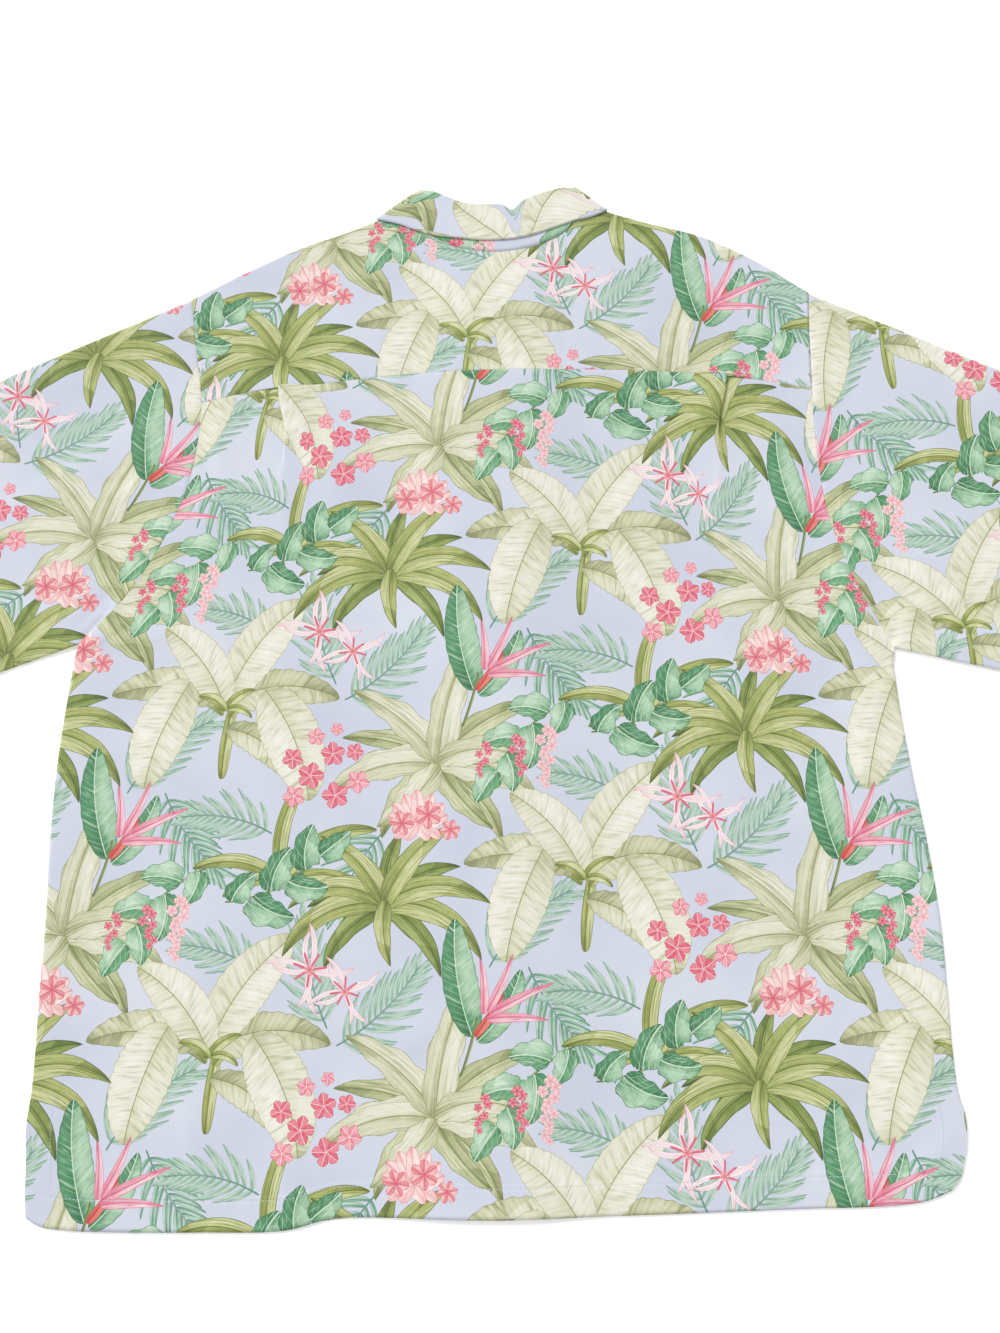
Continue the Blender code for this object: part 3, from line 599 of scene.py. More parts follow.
def gathers(distance, place, height, reach, wave):
    """Waves along a seam that fade away from it."""
    return height * bell(distance, reach) * wander(place, *wave)


def ripples(x, y):
    """Gathers beside the armholes and the yoke seam. Past the seam's ends the distance to it
    grows ten times as fast, so they stop there."""
    armhole = np.minimum(to_line(x, y, ARMHOLES[0][::4]), to_line(x, y, ARMHOLES[1][::4]))
    yoke = np.abs(y - seam_y(x)) + 10 * np.maximum(np.abs(x) - SEAM_END, 0)
    return gathers(armhole, y, *ARMHOLE_GATHERS) + gathers(yoke, x, *YOKE_GATHERS)


def turned(inside, depth):
    """Rise of a turned edge and the groove along its stitches, inside being the distance from
    the edge: (1 where the cloth is double and 0 beyond, a bell round the stitches)."""
    return (plateau(inside, depth, depth + TURN_SOFT),
            bell(inside - depth + STITCH_INSET, GROOVE_WIDTH))


def turned_edges(x, y):
    """A hem and the turned edges of the vents, with the hem's puckers."""
    hem = np.maximum(y - hem_y(x), 0)
    side = np.minimum(to_line(x, y, VENTS[0][::3]), to_line(x, y, VENTS[1][::3]))
    open_part = plateau(y, *VENT_OPEN)
    (band, groove), (vent_band, vent_groove) = turned(hem, HEM_DEPTH), turned(side, VENT_DEPTH)
    return (TURN_RISE * np.maximum(band, open_part * vent_band)
            - GROOVE_DEPTH * (groove + open_part * vent_groove)
            + gathers(hem - HEM_DEPTH, x, *HEM_GATHERS))


def upper_surface(x, y):
    """The upper layer with its fine creases, never closer than 0.6 mm to what is below."""
    quiet = smooth(to_leaves(x, y), 0, 20 * MM)
    fine = quiet * (creases(x, y, CREASES, lean=0.3) + ripples(x, y)) + turned_edges(x, y)
    return np.maximum(back_level(x, y) + fine, right_level(x, y) + 0.6 * MM)


print("upper layer at the left underarm:", round(float(upper_surface(-0.34, 0.06)) / MM, 2), "mm")

# %% [markdown]
# ## The print as formulas
#
# A hawaiian shirt is printed with leaves and flowers that repeat in a half drop: each column
# of repeats starts half a repeat lower than its neighbour. An image would do this, but it has
# one fixed sharpness. Here each leaf has a chart instead: s runs from 0 at its stalk to 1 at
# its tip along a bent midrib, and d is the distance to the midrib. A material can then draw
# the outline, the veins and the shading of any leaf from s and d, sharp at every distance.
#
# A flower is the same leaf folded round its centre, and a palm frond is the same leaf
# repeated along both sides of a rib, so one small program draws all of them. The motifs and
# their layout are this lesson's own.

# %% Kinds of leaf and petal
FLOWER = 1                # a flower's habit; a blade's is 0
NARROW = 0.3              # how much narrower the shaded half of a blade is, at full contrast
KINDS = {}
# For each kind: its habit, where it is widest, how blunt it is, its veins or petals, its lobes,
# the strength of the veins, the contrast of its two halves, how much its tip turns over, and
# the colours of its lit side, shaded side, veins and outline.
PROPERTIES = "habit widest blunt rows lobes strength contrast turned lit shaded ink edge".split()
for line in """
banana       0 0.85  0.6 22 0.02 0.12 0.35 0.1 F5F2E9 DEDEC4 9A9F6C ADB180
banana_side  0  0.8 0.66 20 0.04  0.2  0.6 0.5 EBE9D6 CBCDA6 8C9260 8F946A
ti           0 0.66 0.78  7  0.1 0.15  0.5 0.4 EEECDE D3D5B4 989E6C 8E935F
ti_shade     0 0.66 0.78  7 0.08 0.15  0.6 0.4 DBDDBA B8BD8E 7E8752 747C4C
olive        0 0.62  0.8  5 0.05  0.2  0.6 0.5 D8DAAA AAB36A 6F7D3E 5C6938
olive_dark   0 0.62  0.8  5 0.05  0.2  0.6 0.4 B3BD7C 83954E 566832 46552F
leaflet      0  0.7  0.6  3    0    0  0.7 0.3 D8E7DB B4CEBC 84A994 8AAC9A
leaflet_deep 0  0.7  0.6  3    0    0  0.8 0.3 C4DCCB 92B9A0 5E9279 64927E
rib          0  0.6 0.15  1    0    0  0.4   0 A3BFAC 7AA08E 64917F 64917F
heart        0 0.52  0.6  5  0.1 0.35  0.8 0.3 C6E4C6 559468 D3EAD1 306B45
heart_pale   0 0.52  0.6  5  0.1 0.35  0.8 0.3 D6EAD4 6FAA7C DFEFDB 3F7F52
great_leaf   0  0.8  0.6 17 0.02  0.3  0.8 0.1 C4E0C4 5A976C D0E8CF 37714B
bract        0  0.5  0.7  2    0  0.1  0.5 0.0 F9E0E5 EA9AAD D66C88 D36A86
bract_root   0  0.6  0.6  2    0  0.1  0.6 0.0 EF9583 DC6259 BE4A51 BE4A51
orchid       1  1.2  0.6  5  0.1  0.2  0.5 0.0 EF919F DC566E F6CED1 C4455F
orchid_pale  1  1.2  0.6  5  0.1  0.2  0.5 0.0 F6BBC2 E77488 FBE5E5 D15B73
lily         0 0.85 0.65  2 0.04  0.0  0.3 0.3 FBF7F8 F4E3E6 EFC6CE DC8CA2
stamens      1  1.6 0.35  7    0  0.1    0   0 E8808F D75D76 D0546F D0546F
petal        0 0.95  0.6  4  0.1  0.2  0.5 0.3 FBF0EC F6D3CF E9A7AA E08F95
blossom      1  1.1  0.5  6  0.1  0.3  0.5 0.0 F4CAC6 E68B91 D7657A D7657A
floret       1  1.2  0.5  5  0.1  0.3  0.6 0.0 FBE9E8 F2BFC4 E79BA4 E496A2
floret_red   1  1.2  0.5  5  0.1  0.3  0.6 0.0 F6B4BB DF6C80 C9546A C5566A
strap        0  0.7 0.55  4 0.02  0.1  0.7 0.3 DFE2B4 ADB66A 747F40 67723A
stem         0  0.9 0.15  1    0    0  0.6   0 ADB678 7E8F50 5F6E3A 5C6B3A
""".strip().splitlines():
    name, *values = line.split()
    KINDS[name] = dict(zip(PROPERTIES, [float(v) for v in values[:8]] + values[8:]))
NAMES = list(KINDS)
print("kinds of motif:", len(NAMES))


# %% Sprays and stems
def spray(kind, x, y, rows, size=1.0, behind=0.0):
    """Leaves from one foot: each row has the place of its stalk from there, an angle, a length,
    a bend in degrees over its length and half a width, in mm and degrees. behind moves each
    stalk back through the foot, so that the narrow ends cover each other."""
    return [(kind, x + size * dx - behind * math.cos(math.radians(a)),
             y + size * dy - behind * math.sin(math.radians(a)), a, size * n, bend, size * w)
            for dx, dy, a, n, bend, w in rows]


def along_stem(x, y, angle, bend, length, share):
    """Places on a stem bent into part of a circle, and its way there in degrees."""
    k = math.radians(bend) / length
    arc = (np.exp(1j * k * length * share) - 1) / (1j * k)
    at = complex(x, y) + np.exp(1j * math.radians(angle)) * arc
    return at.real, at.imag, angle + bend * share


print("half way along a stem:", [round(float(v), 1) for v in along_stem(0, 0, 90, 30, 100, 0.5)])


# %% Fronds, branches and cones
def frond(kind, x, y, angle, length, bend, reach, half=2.4, pitch=6.4):
    """A palm frond: leaflets on both sides of a bent rib. They leave it at 66 degrees near its
    foot and at 24 near its tip, are longest a third of the way up, and bend towards the tip."""
    share = np.arange(0.08, 1, pitch / length)
    at_x, at_y, way = along_stem(x, y, angle, bend, length, share)
    leaflets = []
    for i in range(len(share)):
        size = reach * (1 - 0.72 * abs(share[i] - 0.3)) * (1 + 0.1 * math.sin(5 * i + x))
        for side in (-1, 1):
            lean = side * (66 - 42 * share[i] + 5 * math.sin(3 * i + side + y))
            leaflets.append((kind, at_x[i], at_y[i], way[i] + lean, size, -0.5 * lean, half))
    return leaflets[::-1] + [("rib", x, y, angle, length * 1.02, bend, 0.9)]


def branch(kind, x, y, angle, bend, length, count, leaf, half):
    """Leaves in turn on the left and right of a bent stem, larger in its middle, and one at
    its tip."""
    share, turns = np.linspace(0.06, 1, count), np.arange(count)
    at_x, at_y, way = along_stem(x, y, angle, bend, length, share)
    side = np.where(turns % 2 == 0, 64, -60) * (1 - 0.8 * (share == 1))
    size = 0.78 + 0.22 * np.sin(math.pi * (0.15 + 0.8 * share)) + 0.1 * np.sin(turns * 4.1 + x)
    return [("stem", x, y, angle, length, bend, 1.1)] + [
        (kind, at_x[i], at_y[i], way[i] + side[i], leaf * size[i], -0.7 * side[i], half * size[i])
        for i in range(count)]


def cone(kind, x, y, angle, length, half):
    """A hanging cone of small flowers: places turn round its axis as they go down it, and both
    the cone and its flowers grow narrower towards the tip."""
    share = np.arange(0.02, 1, 4.3 / length)
    off = half * (1 - 0.75 * share) * np.sin(2.4 * np.arange(len(share)))
    at = complex(x, y) + np.exp(1j * math.radians(angle)) * (length * share + 1j * off)
    size = 0.8 * half * (1 - 0.35 * share)
    return [(kind, z.real, z.imag, 47 * i, size[i], 0, 4.4) for i, z in enumerate(at)][::-1]


print("leaflets of a frond:", len(frond("leaflet", 0, 0, 90, 92, 30, 40)) - 1)

# %% Palm fronds, behind everything
FRONDS = (frond("leaflet", 178, 116, 28, 92, 30, 40)
          + frond("leaflet", 170, 130, 116, 92, -28, 38)
          + frond("leaflet_deep", 24, 34, -66, 90, 26, 38)
          + frond("leaflet", 306, 180, 62, 96, -40, 40)
          + frond("leaflet_deep", 214, 0, -134, 82, 34, 38)
          + frond("leaflet", 118, 292, 150, 80, 40, 34)
          + frond("leaflet", 112, 176, 146, 76, 34, 32))
print("frond parts:", len(FRONDS))

# %% Straps of the orchids, and the ti plant
STRAPS = spray("strap", 128, -42, [
    (0, 0, 104, 108, -58, 7.5), (2, 4, 62, 94, -70, 8.5), (-3, 2, 142, 78, 62, 7.5),
    (3, 0, 22, 70, -50, 7), (-2, 2, 172, 52, 50, 6)])
TI = spray("ti_shade", 262, 58, [
    (4, -4, -24, 78, -50, 10), (-4, -4, 206, 72, 50, 10.5), (4, 8, 52, 88, -40, 11),
    (0, -2, -62, 68, 26, 9.5), (0, 4, 148, 84, 36, 10)], 1.12, 5)
TI += spray("ti", 262, 58, [
    (6, 2, 8, 90, -58, 13), (-6, 2, 168, 94, 54, 13.5), (-2, 8, 126, 92, 30, 13),
    (0, 8, 88, 104, -24, 14), (-4, -6, 238, 68, -26, 12), (5, 6, 34, 78, -72, 12)], 1.12, 8)
print("leaves:", len(STRAPS) + len(TI))

# %% Banana plant
BANANA = spray("strap", 72, 60, [
    (0, -14, 88, 84, -10, 6), (4, 40, 60, 48, -84, 4.5), (-2, 42, 124, 50, 88, 4.5)])
BANANA += spray("banana_side", 72, 60, [
    (4, 54, 34, 106, -62, 19), (-6, 56, 152, 104, 50, 18), (6, 30, -6, 82, -64, 15)], behind=4)
BANANA += spray("banana", 72, 60, [
    (38, 62, -50, 108, -34, 27), (-36, 70, 240, 102, 22, 26), (2, 60, 70, 114, -34, 23),
    (-2, 54, 112, 96, 40, 21)], behind=4)
BANANA += spray("strap", 72, 112, [
    (0, -6, 66, 34, -60, 5), (0, -6, 118, 30, 70, 5), (2, -4, 20, 26, -80, 4)])
print("banana leaves and shoots:", len(BANANA))

# %% Olive rosette
ROSETTE = spray("olive_dark", 216, 232, [
    (-4, -3, 200, 70, 52, 9), (4, -3, -22, 74, -56, 9), (0, 6, 94, 60, -34, 8.5),
    (3, 4, 56, 70, -60, 9), (-2, 2, 152, 66, 60, 8)], 1.08, 5)
ROSETTE += spray("olive", 216, 232, [
    (-5, 1, 168, 98, 76, 10.5), (5, 1, 12, 98, -80, 10.5), (-4, 4, 138, 86, 88, 9.5),
    (5, 4, 40, 92, -78, 10.5), (-2, 6, 112, 78, 44, 9.5), (2, 6, 74, 86, -50, 10),
    (0, -4, 258, 52, 34, 7.5)], 1.08, 8)
print("leaves of the rosette:", len(ROSETTE))

# %% Two branches with hanging cones, and a great leaf with its bracts
BRANCHES = (branch("heart", 80, 234, 4, 44, 92, 6, 40, 15)
            + branch("heart_pale", 62, 262, 204, 40, 92, 6, 37, 14)
            + cone("floret_red", 14, 228, -80, 34, 6)
            + cone("floret_red", -12, 222, -104, 27, 5.5)
            + cone("floret", 42, 236, -94, 50, 7))
GREAT_LEAF = (spray("great_leaf", 292, 124, [(4, -4, 40, 70, 36, 11), (0, 0, 112, 98, -26, 17)])
              + spray("stem", 282, 92, [(0, 0, 68, 50, 12, 1.4)])
              + spray("bract_root", 294, 124, [(0, 0, 50, 42, 10, 4)])
              + spray("bract", 304, 138, [
                  (0, 0, 8, 52, -18, 4.4), (2, 4, 30, 60, -10, 4.6), (0, 6, 58, 52, 14, 4.2),
                  (-3, 4, 84, 46, 20, 4), (8, 8, 20, 42, 14, 3.6)]))
print("parts of the branches:", len(BRANCHES), "and of the great leaf:", len(GREAT_LEAF))

# %% Orchids
ORCHIDS = [(kind, 160 + dx, 44 + dy, turn, size, 0, 4.1) for kind, dx, dy, turn, size in [
    ("orchid_pale", -24, -13, 10, 10), ("orchid", -10, 5, 40, 12), ("orchid", 12, -12, 0, 12),
    ("orchid_pale", 31, 0, 24, 10.5), ("orchid", 9, 24, 60, 11), ("orchid", -26, 20, 18, 9.5),
    ("orchid_pale", -6, 39, 50, 8), ("orchid", 28, 26, 30, 8), ("orchid_pale", 12, 46, 12, 6)]]
print("orchids:", len(ORCHIDS))


# %% Lilies and pink blossoms
def lily(x, y, turn, size):
    """Eight narrow petals that bend back, and red stamens in the middle."""
    petals = [(0, 0, turn + 45 * k + 9 * (k % 3), 34 + 6 * (k % 2), 52 if k % 2 else -58, 2.6)
              for k in range(8)]
    return (spray("lily", x, y, petals, size)
            + [("stamens", x, y, turn + 20, 15 * size, 0, 0.7),
               ("blossom", x, y, turn, 5 * size, 0, 3.4)])


LILIES = lily(154, 178, 12, 1.0) + lily(184, 160, 40, 0.85)
BLOSSOMS = spray("petal", 244, 8, [(0, 0, *petal) for petal in [
    (-24, 24, -20, 5.5), (204, 24, 20, 5.5), (4, 27, 20, 6.5), (176, 27, -20, 6.5),
    (30, 28, 14, 7), (150, 28, -14, 7), (58, 28, 12, 7), (122, 28, -12, 7), (90, 29, 6, 7),
    (-60, 18, 10, 5.5), (240, 18, -10, 5.5)]])
BLOSSOMS += [("blossom", 244 + dx, 10 + dy, turn, size, 0, 3.8)
             for dx, dy, turn, size in [(-14, -2, 20, 11), (9, 5, 0, 12), (28, -8, 40, 9)]]
print("petals and blossoms:", len(LILIES) + len(BLOSSOMS))

# %% The repeat, from the lowest motif to the highest
REPEAT_WIDTH, REPEAT_HEIGHT = 315.0, 293.0        # mm
MOTIFS = (FRONDS + STRAPS + TI + BANANA + ROSETTE + BRANCHES + GREAT_LEAF + ORCHIDS + LILIES
          + BLOSSOMS)
print("motif parts in a repeat:", len(MOTIFS))

# %% [markdown]
# ## Placing the print on the cloth
#
# Each little square of cloth lists the topmost motifs that reach it, at most six. For each of
# these it keeps s and d at its four corners, so the material has an exact chart inside the
# square. The midrib of a bent leaf is part of a circle. With k for its curvature and z for a
# point seen from the stalk as a complex number, q = 1 + ikz gives both: its angle grows with
# the way along the midrib and its size shrinks with the distance to the midrib.

# %% Charts
SLOTS = 6
EMPTY = -9                # s of a slot that holds no motif
KIND_STEP = 100           # a slot's third number is this for each kind, plus half the width


def curvature(bend, length):
    """Of a midrib, per mm. A straight one counts as bent by half a degree."""
    return math.radians(bend if abs(bend) > 0.5 else 0.5) / length


def chart(place, motif):
    """(s, d) at places in mm, as complex numbers from the motif's foot."""
    kind, _, _, angle, length, bend, _ = motif
    z = place * np.exp(-1j * math.radians(angle))
    if KINDS[kind]["habit"] == FLOWER:
        return z.real / length, 10 * z.imag / length
    k = curvature(bend, length)
    q = 1 + 1j * k * z
    return np.angle(q) / (k * length), (1 - np.abs(q)) / k


def middle_of(motif):
    """The point from which the repeat is counted: half way along a leaf, or a flower's centre."""
    kind, x, y, angle, length, bend, _ = motif
    if KINDS[kind]["habit"] == FLOWER:
        return complex(x, y)
    k = curvature(bend, length)
    arc = (np.exp(0.5j * k * length) - 1) / (1j * k)
    return complex(x, y) + np.exp(1j * math.radians(angle)) * arc


print("chart 30 mm up the first banana leaf:", chart(np.array([30j]), BANANA[6]))


# %% Which squares a motif reaches
def half_width(s, motif):
    """Half the width of a leaf at s: (4m(1 - m))^blunt of its greatest, where m = s^widest."""
    look = KINDS[motif[0]]
    m = np.clip(s, 0.001, 0.999) ** look["widest"]
    return motif[6] * (4 * m * (1 - m)) ** look["blunt"]


def reach_of(motif, s, d, margin):
    """Which squares, by s and d at their centres, a motif touches and which it fills."""
    look, length = KINDS[motif[0]], motif[4]
    if look["habit"] == FLOWER:
        return np.hypot(s, d / 10) * length < length + margin, np.zeros(len(s), bool)
    half = half_width(s, motif)
    along = np.minimum(s, 1 - s) * length
    sure = half * (1 - look["lobes"]) * (1 - NARROW * look["contrast"])
    return ((along > -margin) & (np.abs(d) < half * (1 + look["lobes"]) + margin),
            (along > margin) & (np.abs(d) < sure - margin))


def print_on(mesh, corners):
    """Give a mesh its print: corners is the flat place in mm of each face's four corners. Gives
    how many motif parts found no free slot."""
    place = corners[..., 0] + 1j * corners[..., 1]
    centre = place.mean(1)
    margin = 0.8 * float(np.percentile(np.abs(place - centre[:, None]).max(1), 90)) + 0.6
    values = np.zeros((SLOTS, len(place), 4, 3), np.float32)
    values[..., 0] = EMPTY
    used = np.zeros(len(place), int)
    closed = np.zeros(len(place), bool)
    lost = 0
    for motif in reversed(MOTIFS):
        away = centre - middle_of(motif)
        across = np.round(away.real / REPEAT_WIDTH)
        up = np.round((away.imag - across * REPEAT_HEIGHT / 2) / REPEAT_HEIGHT)
        foot = (complex(*motif[1:3]) + across * complex(REPEAT_WIDTH, REPEAT_HEIGHT / 2)
                + up * 1j * REPEAT_HEIGHT)
        touched, filled = reach_of(motif, *chart(centre - foot, motif), margin)
        touched &= ~closed
        lost += int((touched & (used >= SLOTS)).sum())
        faces = np.flatnonzero(touched & (used < SLOTS))
        s, d = chart(place[faces] - foot[faces, None], motif)
        packed = np.full(s.shape, KIND_STEP * NAMES.index(motif[0]) + motif[6])
        values[used[faces], faces] = np.stack([s, d, packed], -1)
        used[faces] += 1
        closed[faces] |= filled[faces]
    for k in range(SLOTS):
        layer = mesh.attributes.new(f"print_{k}", "FLOAT_VECTOR", "CORNER")
        layer.data.foreach_set("vector", values[k].ravel())
    return lost


print("numbers for each corner of a square:", 3 * SLOTS)

# %% [markdown]
# ## The printed cloth
#
# The cloth is a soft rayon: matte, with a weak sheen where it turns away, and threads too fine
# to see, so its weave is drawn four times coarser than it is. The print program below is a
# table of small sums. Each row names its results, what is done and what goes in, which is
# easier to read than a picture of a hundred boxes. It runs once for each of the six slots, from
# the lowest motif to the highest, and each run paints over the colour that it is given.


# %% Colours and nodes
def linear(code):
    """A hex sRGB colour as linear values with alpha."""
    part = np.array([int(code[k:k + 2], 16) for k in (0, 2, 4)]) / 255
    part = np.where(part <= 0.04045, part / 12.92, ((part + 0.055) / 1.055) ** 2.4)
    return (*part.tolist(), 1.0)


def add(tree, kind, inputs=(), output=0, **settings):
    """Add a node with its settings. Inputs are values or sockets in order, or a dictionary of
    them by name or number. Gives the output socket."""
    node = tree.nodes.new(kind)
    for name, value in settings.items():
        setattr(node, name, value)
    pairs = inputs.items() if isinstance(inputs, dict) else enumerate(inputs)
    for name, value in pairs:
        if isinstance(value, bpy.types.NodeSocket):
            tree.links.new(value, node.inputs[name])
        else:
            node.inputs[name].default_value = value
    return node.outputs[output]


print("white:", linear("FFFFFF"), "mid grey:", round(linear("808080")[0], 3))

# %% [markdown]
# ## The print program
#
# The third number of a chart packs two: the kind of motif, and half its width. Ramps with one
# flat step for each kind then look up how it is shaped and coloured. Four numbers fit into one
# ramp, as red, green, blue and alpha, so two ramps are enough for the shapes.

# %% Read the chart, and look up the kind
MATH = "ShaderNodeMath"
# What a row may do, apart from a sum: the node, the inputs that it fills, the first output.
NODES = {
    "SPLIT": ("ShaderNodeSeparateXYZ", [0], 0, {}),
    "UNPACK": ("ShaderNodeSeparateColor", [0], 0, {}),
    "JOIN": ("ShaderNodeCombineXYZ", [0, 1, 2], 0, {}),
    "LOOK_UP": ("ShaderNodeValToRGB", [0], 0, {}),
    "CHOOSE": ("ShaderNodeMix", [0, 4, 5], 1, {"data_type": "VECTOR"}),
    "PAINT": ("ShaderNodeMix", [0, 6, 7], 2, {"data_type": "RGBA"}),
    "BRUSH": ("ShaderNodeTexNoise", ["Vector", "Scale", "Detail"], 0, {}),
}
READ = [
    ("s d packed", "SPLIT", "chart"),
    ("hundreds", "MULTIPLY", "packed", 1 / KIND_STEP),
    ("kind", "FLOOR", "hundreds"),
    ("width", "MULTIPLY_ADD", "kind", -KIND_STEP, "packed"),
    ("look", "MULTIPLY_ADD", "kind", 1 / len(NAMES), 0.5 / len(NAMES)),
    ("form contrast", "LOOK_UP", "look"),
    ("manner turned", "LOOK_UP", "look"),
    ("half_widest blunt rows64", "UNPACK", "form"),
    ("habit lobes strength", "UNPACK", "manner"),
]
RAMPS = {
    "form": [(k["widest"] / 2, k["blunt"], k["rows"] / 64, k["contrast"]) for k in KINDS.values()],
    "manner": [tuple(k[part] for part in ("habit", "lobes", "strength", "turned"))
               for k in KINDS.values()],
    **{part: [linear(k[part]) for k in KINDS.values()]
       for part in ("lit", "shaded", "ink", "edge")},
}
print("ramps:", list(RAMPS))

# %% Fold a flower into one petal
# The turn round the centre is cut into as many parts as there are petals, and each part is
# seen from the middle of its petal. A blade keeps its own s and d.
FOLD = [
    ("widest", "MULTIPLY", "half_widest", 2),
    ("count", "MULTIPLY", "rows64", 64),
    ("fy", "MULTIPLY", "d", 0.1),
    ("fy2", "MULTIPLY", "fy", "fy"),
    ("r2", "MULTIPLY_ADD", "s", "s", "fy2"),
    ("radius", "SQRT", "r2"),
    ("turn", "ARCTAN2", "fy", "s"),
    ("turns", "MULTIPLY", "turn", 1 / (2 * math.pi)),
    ("petals", "MULTIPLY", "turns", "count"),
    ("in_petal", "FRACT", "petals"),
    ("off_axis", "SUBTRACT", "in_petal", 0.5),
    ("round_off", "MULTIPLY", "off_axis", 2 * math.pi),
    ("petal_turn", "DIVIDE", "round_off", "count"),
    ("petal_cos", "COSINE", "petal_turn"),
    ("petal_sin", "SINE", "petal_turn"),
    ("petal_s", "MULTIPLY", "radius", "petal_cos"),
    ("radius10", "MULTIPLY", "radius", 10),
    ("petal_d", "MULTIPLY", "radius10", "petal_sin"),
    ("blade_chart", "JOIN", "s", "d", "width"),
    ("petal_chart", "JOIN", "petal_s", "petal_d", "width"),
    ("own_chart", "CHOOSE", "habit", "blade_chart", "petal_chart"),
    ("s1 d1 w1", "SPLIT", "own_chart"),
]
print("rows to fold a flower:", len(FOLD))

# %% Side veins and brush strokes
# The brush went along the veins of a broad blade, and from foot to tip on a narrow one.
STROKES = [
    ("away", "ABSOLUTE", "d1"),
    ("across", "DIVIDE", "away", "w1"),
    ("vein_row", "MULTIPLY", "s1", "count"),
    ("vein_lean", "MULTIPLY_ADD", "across", -2.2, "vein_row"),
    ("vein_part", "FRACT", "vein_lean"),
    ("vein_line", "LESS_THAN", "vein_part", 0.11),
    ("vein", "MULTIPLY", "vein_line", "strength"),
    ("broad", "GREATER_THAN", "count", 15),
    ("stroke_a", "MULTIPLY", "s1", 2.6),
    ("stroke_b", "MULTIPLY", "vein_lean", 1.6),
    ("stroke_c", "SUBTRACT", "stroke_b", "stroke_a"),
    ("stroke_x", "MULTIPLY_ADD", "broad", "stroke_c", "stroke_a"),
    ("stroke_d", "MULTIPLY_ADD", "broad", -0.8, 0.85),
    ("stroke_y", "MULTIPLY", "d1", "stroke_d"),
    ("stroke_place", "JOIN", "stroke_x", "stroke_y", "packed"),
    ("stroke", "BRUSH", "stroke_place", 1.0, 1.0),
]
print("rows for veins and strokes:", len(STROKES))

# %% Outline and midrib
OUTLINE = [
    # The leaf's outline, with lobes, and how far inside it a point is.
    ("s_in", "MAXIMUM", "s1", 0),
    ("s_on", "MINIMUM", "s_in", 1),
    ("m", "POWER", "s_on", "widest"),
    ("rest", "SUBTRACT", 1, "m"),
    ("m_rest", "MULTIPLY", "m", "rest"),
    ("bow", "MULTIPLY", "m_rest", 4),
    ("shape", "POWER", "bow", "blunt"),
    ("side", "GREATER_THAN", "d1", 0),
    ("lobe_start", "MULTIPLY_ADD", "side", 1.9, "stroke"),
    ("lobe_turn", "MULTIPLY_ADD", "vein_row", math.pi, "lobe_start"),
    ("lobe_wave", "COSINE", "lobe_turn"),
    ("lobe_depth", "MULTIPLY", "lobe_wave", "lobes"),
    ("lobe_size", "ADD", "lobe_depth", 1),
    ("half_shade", "MULTIPLY", "side", "contrast"),
    ("narrow", "MULTIPLY_ADD", "half_shade", -NARROW, 1),
    ("half0", "MULTIPLY", "shape", "w1"),
    ("half1", "MULTIPLY", "half0", "narrow"),
    ("half", "MULTIPLY", "half1", "lobe_size"),
    ("room", "SUBTRACT", "half", "away"),
    ("covers", "GREATER_THAN", "room", 0),
    # Outline and midrib, fine on small leaves and broken up by the brush.
    ("fine", "MULTIPLY_ADD", "w1", 0.045, 0.1),
    ("pen", "MINIMUM", "fine", 0.42),
    ("pen_wave", "MULTIPLY_ADD", "stroke", 0.6, 0.7),
    ("pen_now", "MULTIPLY", "pen", "pen_wave"),
    ("outline", "LESS_THAN", "room", "pen_now"),
    ("midrib", "LESS_THAN", "away", "pen_now"),
    ("streak_a", "SUBTRACT", "stroke", 0.55),
    ("streak_b", "MULTIPLY", "streak_a", 6.0),
    ("streak_c", "MULTIPLY", "streak_b", "contrast"),
    ("streak", "MINIMUM", "streak_c", 0.6),
    ("lines_a", "MAXIMUM", "vein", "midrib"),
    ("lines", "MAXIMUM", "lines_a", "streak"),
]
print("rows for lines:", len(OUTLINE))

# %% Shade and paint
SHADE = [
    # One half of the blade, its gutter, its foot, a turned tip, the brush strokes, and the dry
    # end of the tip.
    ("edge_part", "DIVIDE", "away", "half"),
    ("edge_shade", "POWER", "edge_part", 4),
    ("gutter", "MULTIPLY_ADD", "across", -2.6, 1),
    ("gutter_in", "MAXIMUM", "gutter", 0),
    ("foot_room", "SUBTRACT", 1, "s_on"),
    ("foot_shade", "POWER", "foot_room", 4),
    ("turn_line", "MULTIPLY_ADD", "d1", 0.012, 0.66),
    ("past_turn", "GREATER_THAN", "s1", "turn_line"),
    ("turn_shade", "MULTIPLY", "past_turn", "turned"),
    ("shade_0", "ADD", "half_shade", "wash"),
    ("shade_1", "MULTIPLY_ADD", "stroke", 1.3, "shade_0"),
    ("shade_2", "MULTIPLY_ADD", "edge_shade", 0.25, "shade_1"),
    ("shade_3", "MULTIPLY_ADD", "gutter_in", 0.45, "shade_2"),
    ("shade_4", "MULTIPLY_ADD", "foot_shade", 0.9, "shade_3"),
    ("shade_5", "ADD", "shade_4", "turn_shade"),
    ("tip_shade", "POWER", "s_on", 14),
    ("shade_6", "MULTIPLY_ADD", "tip_shade", 1.1, "shade_5"),
    ("first", "SUBTRACT", "shade_6", 0.84),
    ("second", "SUBTRACT", "first", 0.95),
    ("second_part", "MULTIPLY", "second", 0.9),
    # The lit colour, then the shade in two coats, the veins and the outline over it.
    *[(part, "LOOK_UP", "look") for part in ("lit", "shaded", "ink", "edge")],
    ("coat_1", "PAINT", "first", "lit", "shaded"),
    ("coat_2", "PAINT", "second_part", "coat_1", "edge"),
    ("coat_3", "PAINT", "lines", "coat_2", "ink"),
    ("coat_4", "PAINT", "outline", "coat_3", "edge"),
    ("painted", "PAINT", "covers", "below", "coat_4"),
]
